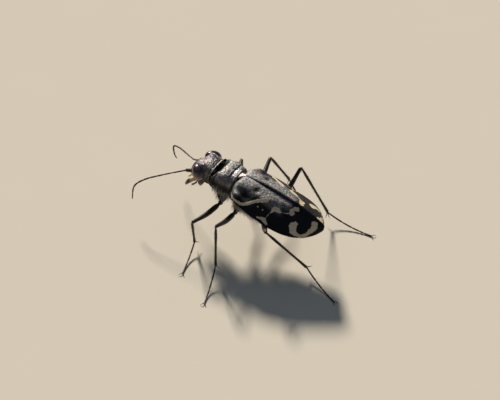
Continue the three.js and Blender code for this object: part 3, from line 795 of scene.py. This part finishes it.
def case_top(u, y, side):
    """Upper face of a wing case at a share u of the way from seam to edge."""
    seam, width, fall = case_profile(y)
    x = SEAM_GAP + u * (width - SEAM_GAP)
    ridge = (0.05 + 0.11 * ease(y, 0.8, 2.5)) * (1 - ease(x, 0.02, 0.13 + 0.08 * ease(y, 1.0, 2.5)))
    ridge -= 0.02 * bell(x, 0, 0.03)
    ridge += 0.09 * bell(u, 0.45 - 0.11 * (y - 3), 0.15) * ease(y, 2.3, 3.0) * (1 - ease(y, 5.0, 5.5))
    shoulder_knob = 0.2 * bell(u, 0.85, 0.12) * bell(y, 0.78, 0.36)
    hollow = 0.18 * bell(u, 0.65, 0.13) * bell(y, 1.4, 0.6)
    hollow += 0.1 * bell(u, 0.35, 0.1) * bell(y, 2.05, 0.28)
    rim = 0.02 * bell(u, 0.985, 0.012) - 0.025 * bell(u, 0.955, 0.014)
    dents = 0.008 * np.sin(9 * x + 2 * np.sin(3 * y)) * np.sin(8 * y + 2 * np.sin(4 * x))
    z = seam - fall * u ** case_round(y) + ridge + shoulder_knob - hollow + rim + dents
    return on_body(side * x, y - base_bulge(x, y), z)


def under_cases(u, y):
    """Height of the inner face of a wing case."""
    seam, _, fall = case_profile(y)
    return seam - CASE_WALL - (fall - CASE_WALL / 2) * u ** case_round(y)


def case_under(u, y, side):
    """Inner face of a wing case at a share u of the way from seam to rim."""
    width = case_profile(y)[1]
    x = SEAM_GAP + u * (np.maximum(width - CASE_RIM, width * 0.5) - SEAM_GAP)
    return on_body(side * x, y - base_bulge(x, y), under_cases(u, y))


def distance_into(points, strokes, side):
    """How far points lie inside the nearest stroke, in mm, below 0 outside it."""
    depth = np.full(points.shape[:-1], -1.0)
    for stroke in strokes:
        stops = np.asarray(stroke)
        places = case_top(stops[:, 0], stops[:, 1], side)
        for a, b, wide, narrow in zip(places, places[1:], stops[:, 2], stops[1:, 2]):
            span = b - a
            t = np.clip(((points - a) @ span) / max(span @ span, TINY), 0, 1)
            away = np.linalg.norm(points - a - t[..., None] * span, axis=-1)
            depth = np.maximum(depth, wide + (narrow - wide) * t - away)
    return depth


def case_painted_sheen(u, y, side):
    """Painted light on a wing case: a grey sheen painted on the disc and shoulder, which face the key light,
    fading to painted shade on the flank, rear and seam, with painted shade in the hollows and a painted
    highlight on the shoulder knob. The left case has the wider painted shade at the seam."""
    front = 1 - ease(y, 1.6, 2.6)
    disc_sheen = (1 - ease(u, 0.42 + 0.3 * front, 0.66 + 0.32 * front)) * (1 - ease(y + 0.5 * u, 4.9, 5.4))
    knob_highlight = 0.4 * bell(u, 0.8, 0.09) * bell(y, 0.72, 0.25)
    hollow_shade = bell(u, 0.64, 0.2) * bell(y, 1.35, 0.5) + 0.95 * bell(u, 0.33, 0.12) * bell(y, 1.9, 0.24)
    hollow_shade += 0.9 * bell(u + 0.3 * (y - 2.4), 0.51, 0.12) * ease(y, 0.8, 1.2) * (1 - ease(y, 2.3, 2.8))
    hollow_shade += 0.8 * bell(u, 0.43, 0.1) * bell(y, 4.75, 0.3)
    back = 0.05 * ease(y, 1.2, 2.5)
    seam_shade = (0.62 + 0.33 * side) * bell(u * case_profile(y)[1], 0.07 + back, 0.05 + back)
    return np.clip(disc_sheen - hollow_shade + knob_highlight - seam_shade * ease(y, 0.7, 1.2), 0, 1)


def wing_case(side_name, finish):
    side = SIDES[side_name]
    t = np.linspace(0, 1, CASE_STATIONS)
    y = (CASE_BASE + (CASE_END * 0.9993 - CASE_BASE) * np.sin(math.pi / 2 * t) ** 1.1)[:, None]
    over = np.concatenate([np.linspace(0, 0.92, CASE_ACROSS, endpoint=False),
                           np.linspace(0.92, 1, CASE_RIM_ACROSS)])
    top = case_top(over, y, side)
    rings = np.concatenate([top, case_under(np.linspace(1, 0, CASE_RIM_ACROSS), y, side)], 1)
    marks = np.full(rings.shape[:2], -1.0)
    marks[:, :len(over)] = distance_into(top, (*MARKS, *SIDE_MARKS[side_name]), side)
    # Painted sheen and painted shade on the top face, none on the inner face
    gleam = np.zeros(rings.shape[:2])
    gleam[:, :len(over)] = case_painted_sheen(over, y, side)
    return skin(f"wing_case_{side_name}", rings, finish, marks=marks, gleam=gleam)


# Shapes of the body
def body_roof(x, y):
    """The highest that the body reaches under the wing cases."""
    width = case_profile(y)[1]
    return under_cases(np.clip(x / np.maximum(width - CASE_RIM, 0.2), 0, 1), y) - 0.03


def underbody_grid():
    rings = body_rings(UNDERBODY, *GRIDS["underbody"], body_roof)
    x, y, z = to_body(rings)
    low = 1 - ease(z, -1.0, -0.7)
    relief = np.zeros(x.shape)
    for edge in STERNITE_EDGES:
        relief -= 0.05 * bell(y, edge + 0.05 * np.abs(x), 0.035) * low
    chest = 1 - ease(y, 3.4, 3.7)
    relief -= 0.06 * bell(z, -1.45 + 0.05 * y, 0.045) * chest * ease(y, 0.9, 1.1) * low
    relief -= 0.06 * bell(y, 0.95 + 0.35 * (z + 1.5), 0.05) * low
    relief -= 0.05 * bell(x, 0, 0.05) * chest * (z < -1.5)
    return push(rings, relief)


def tinted(amount, *colour):
    """A colour for each point of a grid, as strong as the amount there."""
    return amount[..., None] * np.array(colour)


def shield_grid():
    rings = body_rings(SHIELD, *GRIDS["shield"])
    x, y, z = to_body(rings)
    y = y - 0.28 * ease(np.abs(x), 0.45, 1.15) * bell(y, -1.45, 0.3)
    rings = on_body(x, y, z)
    upper = ease(z, -1.6, -0.9)
    on_disc = ease(y, -1.55, -1.3) * (1 - ease(y, -0.65, -0.5))
    relief = -0.045 * bell(x, 0, 0.05) * on_disc * upper
    relief += 0.04 * bell(z, -0.62, 0.05) * on_disc
    relief -= 0.03 * bell(z, -0.76, 0.04) * on_disc
    relief += 0.012 * np.sin(y * 62 + 5 * np.sin(x * 3.1)) * on_disc * upper
    relief += 0.03 * bell(y, -2.06, 0.03) * ease(z, -1.8, -1.2)
    relief += 0.23 * bell(y, -1.78, 0.2) * ease(-z, 0.55, 0.95) * (1 - ease(-z, 1.5, 2.0))
    return push(rings, relief)


def shield_painted_sheen(rings):
    """Painted sheen on the disc and the rear lobe, which face the key light, and painted shade in the groove
    behind the collar.
    """
    x, y, z = to_body(rings)
    forward = 0.28 * ease(np.abs(x), 0.45, 1.15)
    return (ease(y + forward, -1.5, -1.35) + bell(y, -2.07, 0.03)) * ease(z, -1.15, -0.6)


def shield_painted_highlight(rings):
    """Painted highlights: light coppery on the rear lobe, and pale on the edges of the collar and the disc.
    """
    x, y, z = to_body(rings)
    upper = ease(z, -1.2, -0.7)
    lobe = tinted(bell(y, -0.27, 0.19) * bell(x, 0.1, 0.6) * upper, 1.4, 1.3, 1.25)
    rim = tinted(bell(y, -2.07, 0.035) * ease(z, -1.9, -1.2), 0.5, 0.44, 0.38)
    front = tinted(bell(y, -1.36, 0.06) * upper * bell(x, 0, 0.9), 0.34, 0.34, 0.24)
    return lobe + rim + front


def small_plate_grid():
    """The small plate between the bases of the wing cases."""
    stations, sides, t = grid_of("small_plate")
    path = body_path(SMALL_PLATE, stations)
    return sweep(path, 0.36 * (1 - t) ** 0.8 + 0.02, 0.13 * dome(t, 0.2), sides)


# Shapes of the head
def head_grid():
    stations, sides, t = grid_of("head")
    path = body_path(HEAD_PATH, stations)
    face = np.clip((t - 0.187) / 0.813, 0, 1)
    high = (0.84 - 0.36 * face ** 1.6) * np.sqrt(1 - np.clip((t - 0.93) / 0.075, 0, 0.97) ** 2)
    high *= 0.97 + 0.03 * ease(t, 0, 0.25)
    rings = sweep(path, smooth_through(HEAD_WIDTHS, t), high, sides, (3.2 - 0.8 * face)[:, None])
    x, y, z = to_body(rings)
    out = np.abs(x)
    upper = ease(z, -1.7, -1.1)
    relief = -0.07 * bell(x, 0, 0.36) * bell(y, -3.3, 0.4) * upper
    relief -= 0.03 * bell(y, -2.38, 0.13) * ease(z, -2.2, -1.4)
    relief += 0.006 * np.sin(70 * x) * bell(y, -3.1, 0.35) * upper
    relief -= 0.05 * bell(face[:, None], 0.86, 0.02) * (z > -3)
    relief += 0.07 * bell(out, 0.62, 0.2) * bell(z, -2.35, 0.25) * (y < -3.2)
    relief -= 0.32 * bell(out, 0.9, 0.36) * ease(-y, 3.25, 3.6) * bell(z, -1.5, 0.6)
    brow = 0.45 * ease(y, -3.6, -3.2) + 0.5 * bell(y, -3.15, np.where(y < -3.15, 0.42, 0.35))
    brow *= (0.05 + 0.33 * bell(out, 0.86, 0.3)) * upper
    return push(rings, relief) + body_way(0, 0, 1) * brow[..., None]


def head_painted_sheen(rings):
    """Painted sheen on the top of the head, which faces the key light, fading to painted shade on the cheeks.
    """
    return 0.08 + 0.92 * ease(to_body(rings)[2], -1.5, -0.9)


def head_highlight_and_tint(rings):
    """Painted violet highlight on the crown and brows; green behind the eyes and amber low on the cheeks."""
    _, y, z = to_body(rings)
    crown_highlight = tinted(ease(z, -1.1, -0.7) * bell(y, -3.1, 0.3), 0.05, 0.02, 0.07)
    cheek = tinted(bell(y, -2.57, 0.28) * bell(z, -1.4, 0.33), 0.06, 0.15, 0.06)
    amber = tinted(bell(y, -2.85, 0.28) * bell(z, -2.3, 0.22), 1.0, 0.45, 0.06)
    return crown_highlight + cheek + amber


def eye_grid(side):
    mirror = np.array([side, 1, 1])
    thick, long = EYE_HALF
    stations, sides = GRIDS["eye"]
    turn = np.linspace(0.03, math.pi - 0.03, stations)
    path = unit(mirror * EYE_TOWARD) * (-np.cos(turn) * long)[:, None] + mirror * EYE_PLACE
    ring = np.sin(turn) * thick
    rings = sweep(path, ring, ring, sides, across=np.array([0.0, 0.0, 1.0]))
    return on_body(*np.moveaxis(rings, -1, 0))


def mandible_grids(side):
    """A curved sickle with three teeth on its inner edge."""
    stations, sides, t = grid_of("jaw")
    tooth_stations, tooth_sides = GRIDS["tooth"]
    path = body_path(JAW_BENDS, stations, side)
    half = 0.27 * (1 - t ** 1.3) ** 0.9 + 0.012
    blade = sweep(path, half, half * 0.75, sides)
    grids = [blade]
    for place_on, size in JAW_TEETH:
        k = int(place_on * (stations - 1))
        inward = unit(np.array([-side * 0.8, 0.0, 0.0]) + 0.9 * unit(path[k + 1] - path[k]))
        tooth = spline([path[k] + inward * size * far for far in (0, 0.6, 1)], tooth_stations)
        grow = np.linspace(1, 0.06, tooth_stations) * half[k] * 0.5
        grids.append(sweep(tooth, grow, grow * 0.8, tooth_sides, across=np.array([0.0, 1.0, 0.2])))
    return grids, np.broadcast_to(t[:, None], blade.shape[:2])


def maxilla_grid(side):
    """The stout amber root of a palp, below the cheek."""
    stations, sides, t = grid_of("maxilla")
    half = 0.24 * dome(t, 0.4)
    return sweep(body_path(MAXILLA, stations, side), half * 0.8, half, sides)


def labrum_grid():
    stations, sides, t = grid_of("lip")
    wide = (0.6 - 0.12 * t) * np.sqrt(1 - np.clip((t - 0.7) / 0.31, 0, 1) ** 2 * 0.75)
    rings = sweep(body_path(LIP, stations), wide, 0.15 * dome(t, 0.12) * (1 - 0.35 * t), sides)
    return push(rings, 0.05 * bell(to_body(rings)[0], 0, 0.09) * ease(t, 0.6, 1)[:, None])


# Paths of the limbs
def jointed(t, joints, half, pinch, reach):
    """Half width of a limb that narrows at its joints and swells towards the far end of each length."""
    edges = np.array([0, *joints, 1])
    k = np.clip(np.searchsorted(edges, t, side="right") - 1, 0, len(edges) - 2)
    along = (t - edges[k]) / (edges[k + 1] - edges[k])
    narrow = np.ones_like(t)
    for joint in joints:
        narrow -= pinch * bell(t, joint, reach)
    return half * (0.85 + 0.2 * along) * np.clip(narrow, 0.3, 1)


def tapered(points, stops, count, ends):
    """A path through points, and its half widths through stops, rounded at both ends."""
    t = np.linspace(0, 1, count)
    return spline(points, count), smooth_through(stops, t) * dome(t, ends)


def pointed(points, count, half, tip):
    """A path through points, and its half widths, which narrow to a share tip of the first one."""
    return spline(points, count), half * np.linspace(1, tip, count) ** 0.8


def leg_joints(name):
    """The inner end of a leg's coxa, its hip, knee, ankle and claw, above the floor."""
    pair, side_name = name.split("_")
    mirror = np.array([SIDES[side_name], 1, 1])
    root, hip, _ = HIPS[pair]
    return on_body(*(mirror * root)), mirror * hip, *np.array(LEGS[name], float)


def coxa_grid(name):
    root, hip = leg_joints(name)[:2]
    wide = HIPS[name.split("_")[0]][2]
    stations, sides, t = grid_of("coxa")
    half = (wide + (0.2 - wide) * t ** 1.2 + 0.05 * np.sin(math.pi * t)) * dome(t, 0.1)
    rings = sweep(spline([root, (root + hip) / 2, hip], stations), half, half, sides)
    return push(rings, 0.012 * np.sin(40 * t)[:, None] * np.ones(sides))


def spur_paths(hip, knee, ankle):
    """The two spurs at the end of a shin."""
    down = unit(ankle - knee)
    inner = np.array([-math.copysign(1, hip[0]), 0, 0])
    inner = unit(inner - (inner @ down) * down)
    beside = np.cross(down, inner)
    for turn in (-1, 1):
        start = ankle - down * 0.08
        end = start + unit(down * 0.7 + inner * 0.6 + beside * turn * 0.35) * 0.58
        end[2] = max(end[2], 0.12)
        middle = (start + end) / 2 + down * 0.04
        yield pointed([start, middle, end], STATIONS["spur"], 0.05, 0.12)


def foot_path(ankle, claw):
    share = np.linspace(0, FOOT_END, 9)
    places = ankle + (claw - ankle) * share[:, None]
    places[:, 2] = FOOT_HALF + (ankle[2] - FOOT_HALF) * (1 - share) ** 2.4
    t = np.linspace(0, 1, STATIONS["foot"])
    half = jointed(t, FOOT_JOINTS, 0.068 - 0.006 * t, 0.42, 0.012)
    return spline(places, len(t)), half * dome(t, 0.02)


def claw_paths(ankle, claw):
    """The two claws at the end of a foot."""
    ahead = unit((claw - ankle) * np.array([1, 1, 0]))
    beside = np.cross(ahead, (0, 0, 1))
    start = ankle + (claw - ankle) * 0.945
    start[2] = 0.066
    for turn in (-1, 1):
        bends = [start + ahead * far + beside * turn * out + np.array([0, 0, rise])
                 for far, out, rise in CLAW_BENDS]
        yield pointed(bends, STATIONS["claw"], 0.034, 0.15)


def leg_lengths(name):
    """Paths with their half widths for the thigh, the shin with its spurs and the foot with its claws."""
    _, hip, knee, ankle, claw = leg_joints(name)
    thigh = tapered([hip, (hip + knee) / 2 - THIGH_SAG, knee], FEMUR_GIRTH, STATIONS["thigh"], 0.03)
    shin = tapered([knee, (knee + ankle) / 2, ankle], TIBIA_GIRTH, STATIONS["shin"], 0.025)
    return {"thigh": [thigh], "shin": [shin, *spur_paths(hip, knee, ankle)],
            "foot": [foot_path(ankle, claw), *claw_paths(ankle, claw)]}


def feeler_path(side_name):
    t = np.linspace(0, 1, STATIONS["feeler"])
    half = jointed(t, FEELER_JOINTS, smooth_through(FEELER_GIRTH, t), 0.42, 0.005)
    return spline(FEELERS[side_name], len(t)), half * dome(t, 0.012)


def palp_path(kind, side):
    t = np.linspace(0, 1, STATIONS["palp"])
    half = jointed(t, PALP_JOINTS, 0.062 + 0.012 * t, 0.45, 0.03)
    return body_path(PALPS[kind], len(t), side), half * dome(t, 0.1)


# Sizes and colours that a user would change
def colour_setting(label, says, *default):
    return bpy.props.FloatVectorProperty(
        name=label, description=says, subtype="COLOR", default=default, min=0, max=1)


def length_setting(label, says, default, low, high):
    """A length that a user can change, in mm."""
    return bpy.props.FloatProperty(name=label, description=says, unit="LENGTH", precision=6,
                                   default=default * MM, min=low * MM, max=high * MM)


def number_setting(label, says, default, low, high, **extra):
    return bpy.props.FloatProperty(name=label, description=says, default=default, min=low, max=high, **extra)


class BeetleSettings(bpy.types.PropertyGroup):
    case_dark: colour_setting("Wing case", "Darkest colour of the wing cases", 0.012, 0.012, 0.018)
    mark_colour: colour_setting("Marks", "Cream of the marks on the wing cases", 0.66, 0.54, 0.38)
    plate_dark: colour_setting("Plates", "Darkest colour of the head and shield", 0.014, 0.012, 0.014)
    ivory: colour_setting("Ivory", "Upper lip and roots of the jaws", 0.72, 0.55, 0.3)
    hair_colour: colour_setting("Hairs", "White hairs of the flanks and hips", 0.72, 0.66, 0.56)
    floor_colour: colour_setting("Floor", "Plain pale floor", 0.62, 0.57, 0.5)
    pit_size: length_setting("Pit size", "Size of one pit of the wing cases", 0.1, 0.02, 0.3)
    hair_length: length_setting("Hair length", "Length of a white hair", 0.42, 0.1, 1.5)
    hair_half: length_setting("Hair thickness", "Half the thickness of a white hair", 0.009, 0.002, 0.05)
    hair_count: number_setting("Hairs per square mm", "How dense the white hairs stand", 90.0, 1, 300)
    sun_turn: number_setting(
        "Light direction", "Where the key light stands, round from the front of the beetle",
        math.radians(-42), -math.pi, math.pi, subtype="ANGLE")
    sun_height: number_setting("Light height", "Height of the key light above the floor",
                               math.radians(31), 0, math.pi / 2, subtype="ANGLE")
    sun_power: number_setting("Light power", "Strength of the key light", 5.8, 0, 20)
    fill_power: number_setting("Fill", "Strength of the soft light from all round", 0.24, 0, 5)


def settings():
    return bpy.context.scene.tiger_beetle


def chosen(name):
    """A colour of the settings."""
    return tuple(getattr(settings(), name))


# Finishes and shapes that are made once
def plates():
    """Finish of the head, shield and hips, made once."""
    return bpy.data.materials.get("bronze_plate") or plate_finish(
        "bronze_plate", chosen("plate_dark"), PLATE_GLINTS, pit=0.1, relief=0.018, rough=(0.48, 0.64),
        tilt=0.6)


def limb_black():
    return bpy.data.materials.get("limb_black") or leg_finish("limb_black", *LIMB_COLOURS)


def bristles():
    return bpy.data.materials.get("bristle_brown") or hair_finish("bristle_brown", (0.06, 0.045, 0.035))


def bristle_shape():
    return bpy.data.objects.get("bristle_shape") or spike("bristle_shape", 0.3, 0.014, 0.03)


# Pieces
class MakeWingCases(bpy.types.Operator):
    """Makes the two marked wing cases"""
    bl_idname = "beetle.wing_cases"
    bl_label = "Wing cases"

    def execute(self, context):
        finish = plate_finish(
            "wing_case", chosen("case_dark"), CASE_GLINTS, pit=settings().pit_size / MM, relief=0.01,
            rough=(0.56, 0.74), tilt=0.25, marks=chosen("mark_colour"))
        for side_name in SIDES:
            stand_for(wing_case(side_name, finish), "wing", f"elytron_{side_name}")
        return {"FINISHED"}


class MakeHead(bpy.types.Operator):
    """Makes the head with its brows, and the two eyes"""
    bl_idname = "beetle.head"
    bl_label = "Head and eyes"

    def execute(self, context):
        rings = head_grid()
        # The head carries a painted sheen and painted shade, a painted highlight on the crown, and green and
        # amber tints
        head = skin("head_plate", rings, plates(), gleam=head_painted_sheen(rings), glow=head_highlight_and_tint(rings))
        stand_for(head, "bronze", "head")
        # The second colour is the brown painted reflection of the floor
        facets = eye_finish((0.028, 0.018, 0.03), (0.26, 0.18, 0.17))
        for side_name, side in SIDES.items():
            stand_for(skin(f"eye_ball_{side_name}", eye_grid(side), facets), "eye", f"eye_{side_name}")
        return {"FINISHED"}


class MakeMouth(bpy.types.Operator):
    """Makes the upper lip, the toothed jaws and the palps"""
    bl_idname = "beetle.mouth"
    bl_label = "Mouthparts"

    def execute(self, context):
        ivory = chosen("ivory")
        lip = horn_finish("lip_ivory", ivory, ivory)
        jaw = horn_finish("jaw_horn", ivory, (0.014, 0.01, 0.01), split=0.15, rough=0.22)
        amber = horn_finish("palp_root_amber", (0.17, 0.1, 0.028), (0.05, 0.03, 0.01))
        stand_for(skin("upper_lip", labrum_grid(), lip), "ivory", "labrum")
        for side_name, side in SIDES.items():
            grids, along = mandible_grids(side)
            jaw_piece = skin(f"jaw_{side_name}", grids, jaw, along=along)
            stand_for(jaw_piece, "ivory", f"mandible_{side_name}")
            stand_for(skin(f"maxilla_{side_name}", maxilla_grid(side), amber), "ivory")
            for kind in PALPS:
                limb = limb_piece(f"palp_{kind}_{side_name}_limb", [palp_path(kind, side)], 0.9, 0.05)
                stand_for(limb, "leg", f"palp_{kind}_{side_name}")
        return {"FINISHED"}


class MakeShield(bpy.types.Operator):
    """Makes the shield behind the head and the small plate between the wing cases"""
    bl_idname = "beetle.shield"
    bl_label = "Shield"

    def execute(self, context):
        rings = shield_grid()
        # The shield carries a painted sheen and painted shade, and painted highlights on its lobe and edges
        piece = skin("shield_plate", rings, plates(), gleam=shield_painted_sheen(rings), glow=shield_painted_highlight(rings))
        stand_for(piece, "bronze", "prothorax")
        copper = plate_finish("small_plate", (0.05, 0.028, 0.024), COPPER_GLINTS, pit=0.05, relief=0.008,
                              rough=(0.4, 0.55), share=0.9)
        stand_for(skin("small_plate_piece", small_plate_grid(), copper), "bronze", "scutellum")
        return {"FINISHED"}


class MakeUnderbody(bpy.types.Operator):
    """Makes the chest and belly plates below the wing cases"""
    bl_idname = "beetle.underbody"
    bl_label = "Chest and belly"

    def execute(self, context):
        finish = plate_finish("flank_plate", (0.03, 0.022, 0.02), FLANK_GLINTS, pit=0.09, relief=0.016,
                              share=0.6)
        stand_for(skin("underbody", underbody_grid(), finish), "flank", "thorax", "abdomen")
        return {"FINISHED"}


def limb_piece(name, lengths, bristle_size, bristle_step, set_in=ALL_ALONG, lowest=ANY_AIM):
    """Round limb through paths with their half widths. The first path has bristles, which set in along
    the stretch set_in and aim no lower than lowest."""
    tree = bpy.data.node_groups.get("Limb") or limb_tree()
    paths, girths = zip(*lengths)
    bristly = [np.zeros(len(path)) for path in paths]
    bristly[0] = ease(np.linspace(0, 1, len(paths[0])), *set_in)
    return grown(path_mesh(paths, girths, bristly), tree, name, {
        "Bristle step": bristle_step * MM, "Bristle size": bristle_size, "Lowest aim": lowest,
        "Bristle": bristle_shape(), "Finish": limb_black(), "Bristle finish": bristles()},
        limb_black(), bristles())


class MakeFeelers(bpy.types.Operator):
    """Makes the two jointed feelers"""
    bl_idname = "beetle.feelers"
    bl_label = "Feelers"

    def execute(self, context):
        for side_name in SIDES:
            piece = limb_piece(f"feeler_{side_name}", [feeler_path(side_name)], 0.35, 0.05, (0.3, 0.42))
            nodes = [f"antenna_{side_name}_{part}" for part in ("scape", "shaft", "tip")]
            stand_for(piece, "leg", *nodes)
        return {"FINISHED"}


class MakeLegs(bpy.types.Operator):
    """Makes the six legs with their hips, spurs, five-jointed feet and claws"""
    bl_idname = "beetle.legs"
    bl_label = "Legs"

    def execute(self, context):
        for name in LEGS:
            stand_for(skin(f"hip_{name}", coxa_grid(name), plates()), "bronze", f"coxa_{name}")
            for part, lengths in leg_lengths(name).items():
                stands_for, *bristling = LENGTHS[part]
                piece = limb_piece(f"{part}_{name}", lengths, *bristling)
                stand_for(piece, "leg", f"{stands_for}_{name}")
        return {"FINISHED"}


def hair_fields(rings, hairy, lie):
    """Where hairs grow on a grid, which way they lie and where their roots unwrap to."""
    across, along = np.meshgrid(*(np.linspace(0.02, 0.98, count) for count in rings.shape[1::-1]))
    return {"hairy": np.broadcast_to(hairy, rings.shape[:2]), "lie": np.broadcast_to(lie, rings.shape),
            "unwrap": np.stack([across, along, np.zeros_like(across)], -1)}


def hair_coat(name, rings, hairy, lie, seed, share=1.0, stand=0.6):
    """White hairs on a grid of rings, as a piece of their own."""
    tree = bpy.data.node_groups.get("Hair coat") or hair_tree()
    white = bpy.data.materials.get("white_hair") or hair_finish("white_hair", chosen("hair_colour"))
    hair = bpy.data.objects.get("hair_shape") or spike(
        "hair_shape", settings().hair_length / MM, settings().hair_half / MM, 0.07)
    ground = skin(name + "_ground", rings, white, **hair_fields(rings, hairy, lie))
    mesh = ground.data
    bpy.data.objects.remove(ground)
    piece = grown(mesh, tree, name, {
        "Hairs per square mm": settings().hair_count * share, "Stand": stand, "Seed": seed, "Hair": hair,
        "Finish": white}, white)
    return stand_for(piece, "flank")


class MakeHairs(bpy.types.Operator):
    """Makes the white hairs on the hips, the flanks and the sides of the shield"""
    bl_idname = "beetle.hairs"
    bl_label = "White hairs"

    def execute(self, context):
        down_back = body_way(0, 0.75, -0.6)
        rings = underbody_grid()
        _, y, z = to_body(rings)
        flank = ease(z, -2.55, -2.2) * (1 - ease(z, -0.95, -0.7)) * (0.35 + 0.65 * (1 - ease(y, 3.2, 4.6)))
        hair_coat("hair_flanks", rings, flank, down_back, 21)
        rings = shield_grid()
        _, y, z = to_body(rings)
        sides = (1 - ease(z, -1.5, -1.2)) * ease(z, -2.5, -2.2) * ease(y, -1.9, -1.6)
        hair_coat("hair_shield", rings, sides, down_back, 22, 0.8)
        rings = head_grid()
        x, y, z = to_body(rings)
        mouth = bell(z, -2.35, 0.22) * bell(y, -3.1, 0.45) * ease(np.abs(x), 0.3, 0.5)
        hair_coat("hair_mouth", rings, mouth, body_way(0, -0.3, -1), 23, 0.12, 0.3)
        for seed, name in enumerate(LEGS, 30):
            rings = coxa_grid(name)
            root, hip = leg_joints(name)[:2]
            grow = 1 - ease(np.linspace(0, 1, len(rings)), 0.75, 0.95)
            hair_coat(f"hair_hip_{name}", rings, grow[:, None], unit(hip - root), seed)
        return {"FINISHED"}


# Camera, floor and lights
def towards(turn, height):
    """The direction at a turn round from the front of the beetle and a height above the floor."""
    return Vector((math.sin(turn) * math.cos(height), -math.cos(turn) * math.cos(height), math.sin(height)))


def facing(name, data, back):
    """A camera or lamp in the scene that has its back towards a direction."""
    made = shown(name, data)
    made.rotation_mode = "QUATERNION"
    made.rotation_quaternion = back.to_track_quat("Z", "Y")
    return made


def make_camera():
    back = towards(VIEW_TURN, VIEW_HEIGHT)
    right = Vector((0, 0, 1)).cross(back).normalized()
    up = back.cross(right)
    centre = Vector((0, 0, LIFT)) - Vector(MIDDLE.tolist())
    aim = (centre + right * VIEW_AIM[0] + up * VIEW_AIM[1]) * MM
    lens = bpy.data.cameras.new("camera")
    lens.sensor_width = SENSOR
    lens.lens = SENSOR * VIEW_DISTANCE / VIEW_WIDTH
    lens.clip_start, lens.clip_end = 0.01, 10
    camera = facing("camera", lens, back)
    camera.location = aim + back * VIEW_DISTANCE * MM
    bpy.context.scene.camera = camera


def make_floor():
    corners = [(x * FLOOR_REACH, y * FLOOR_REACH, 0) for x, y in ((-1, -1), (1, -1), (1, 1), (-1, 1))]
    mesh = bpy.data.meshes.new("floor")
    mesh.from_pydata(corners, [], [(0, 1, 2, 3)])
    paper = cloudy_finish("floor_paper", chosen("floor_colour"), 6, 2, 0.97, Roughness=0.9, IOR=1.2)
    floor = place("floor", mesh, paper)


def make_lights():
    key = bpy.data.lights.new("key", "SUN")
    key.energy = settings().sun_power
    key.angle = SUN_SPREAD
    key.color = SUN_COLOUR
    facing("key", key, towards(settings().sun_turn, settings().sun_height))
    world = bpy.data.worlds.new("soft_room")
    bpy.context.scene.world = world
    world.use_nodes = True
    tree = world.node_tree
    direction = node(tree, "ShaderNodeTexCoord").outputs["Generated"]
    rise = node(tree, "ShaderNodeSeparateXYZ", {"Vector": direction}).outputs["Z"]
    background = tree.nodes["Background"]
    wire(tree, background, Color=ramp(tree, step(tree, rise, 0.2, 0.95), SKY))
    background.inputs["Strength"].default_value = settings().fill_power


class MakeStage(bpy.types.Operator):
    """Makes the floor, the soft lights and the camera"""
    bl_idname = "beetle.stage"
    bl_label = "Floor, lights and camera"

    def execute(self, context):
        make_camera()
        make_floor()
        make_lights()
        context.scene.view_settings.view_transform = "Standard"
        return {"FINISHED"}


OPERATORS = (MakeWingCases, MakeHead, MakeMouth, MakeShield, MakeUnderbody, MakeFeelers, MakeLegs, MakeHairs,
             MakeStage)


class BeetlePanel(bpy.types.Panel):
    """Lists the pieces and their sizes and colours"""
    bl_idname = "VIEW3D_PT_tiger_beetle"
    bl_label = "Tiger beetle"
    bl_space_type = "VIEW_3D"
    bl_region_type = "UI"
    bl_category = "Tiger beetle"

    def draw(self, context):
        for name in BeetleSettings.__annotations__:
            self.layout.prop(context.scene.tiger_beetle, name)
        for operator in OPERATORS:
            self.layout.operator(operator.bl_idname)


CLASSES = (BeetleSettings, *OPERATORS, BeetlePanel)


def register():
    for each in CLASSES:
        bpy.utils.register_class(each)
    bpy.types.Scene.tiger_beetle = bpy.props.PointerProperty(type=BeetleSettings)


def unregister():
    del bpy.types.Scene.tiger_beetle
    for each in reversed(CLASSES):
        bpy.utils.unregister_class(each)


def drop_shapes():
    """Removes the single hair and bristle that the coats were grown from."""
    for name in ("bristle_shape", "hair_shape"):
        if name in bpy.data.objects:
            bpy.data.objects.remove(bpy.data.objects[name])


def main():
    register()
    for operator in OPERATORS:
        group, name = operator.bl_idname.split(".")
        getattr(getattr(bpy.ops, group), name)()
    drop_shapes()


if __name__ == "__main__":
    main()
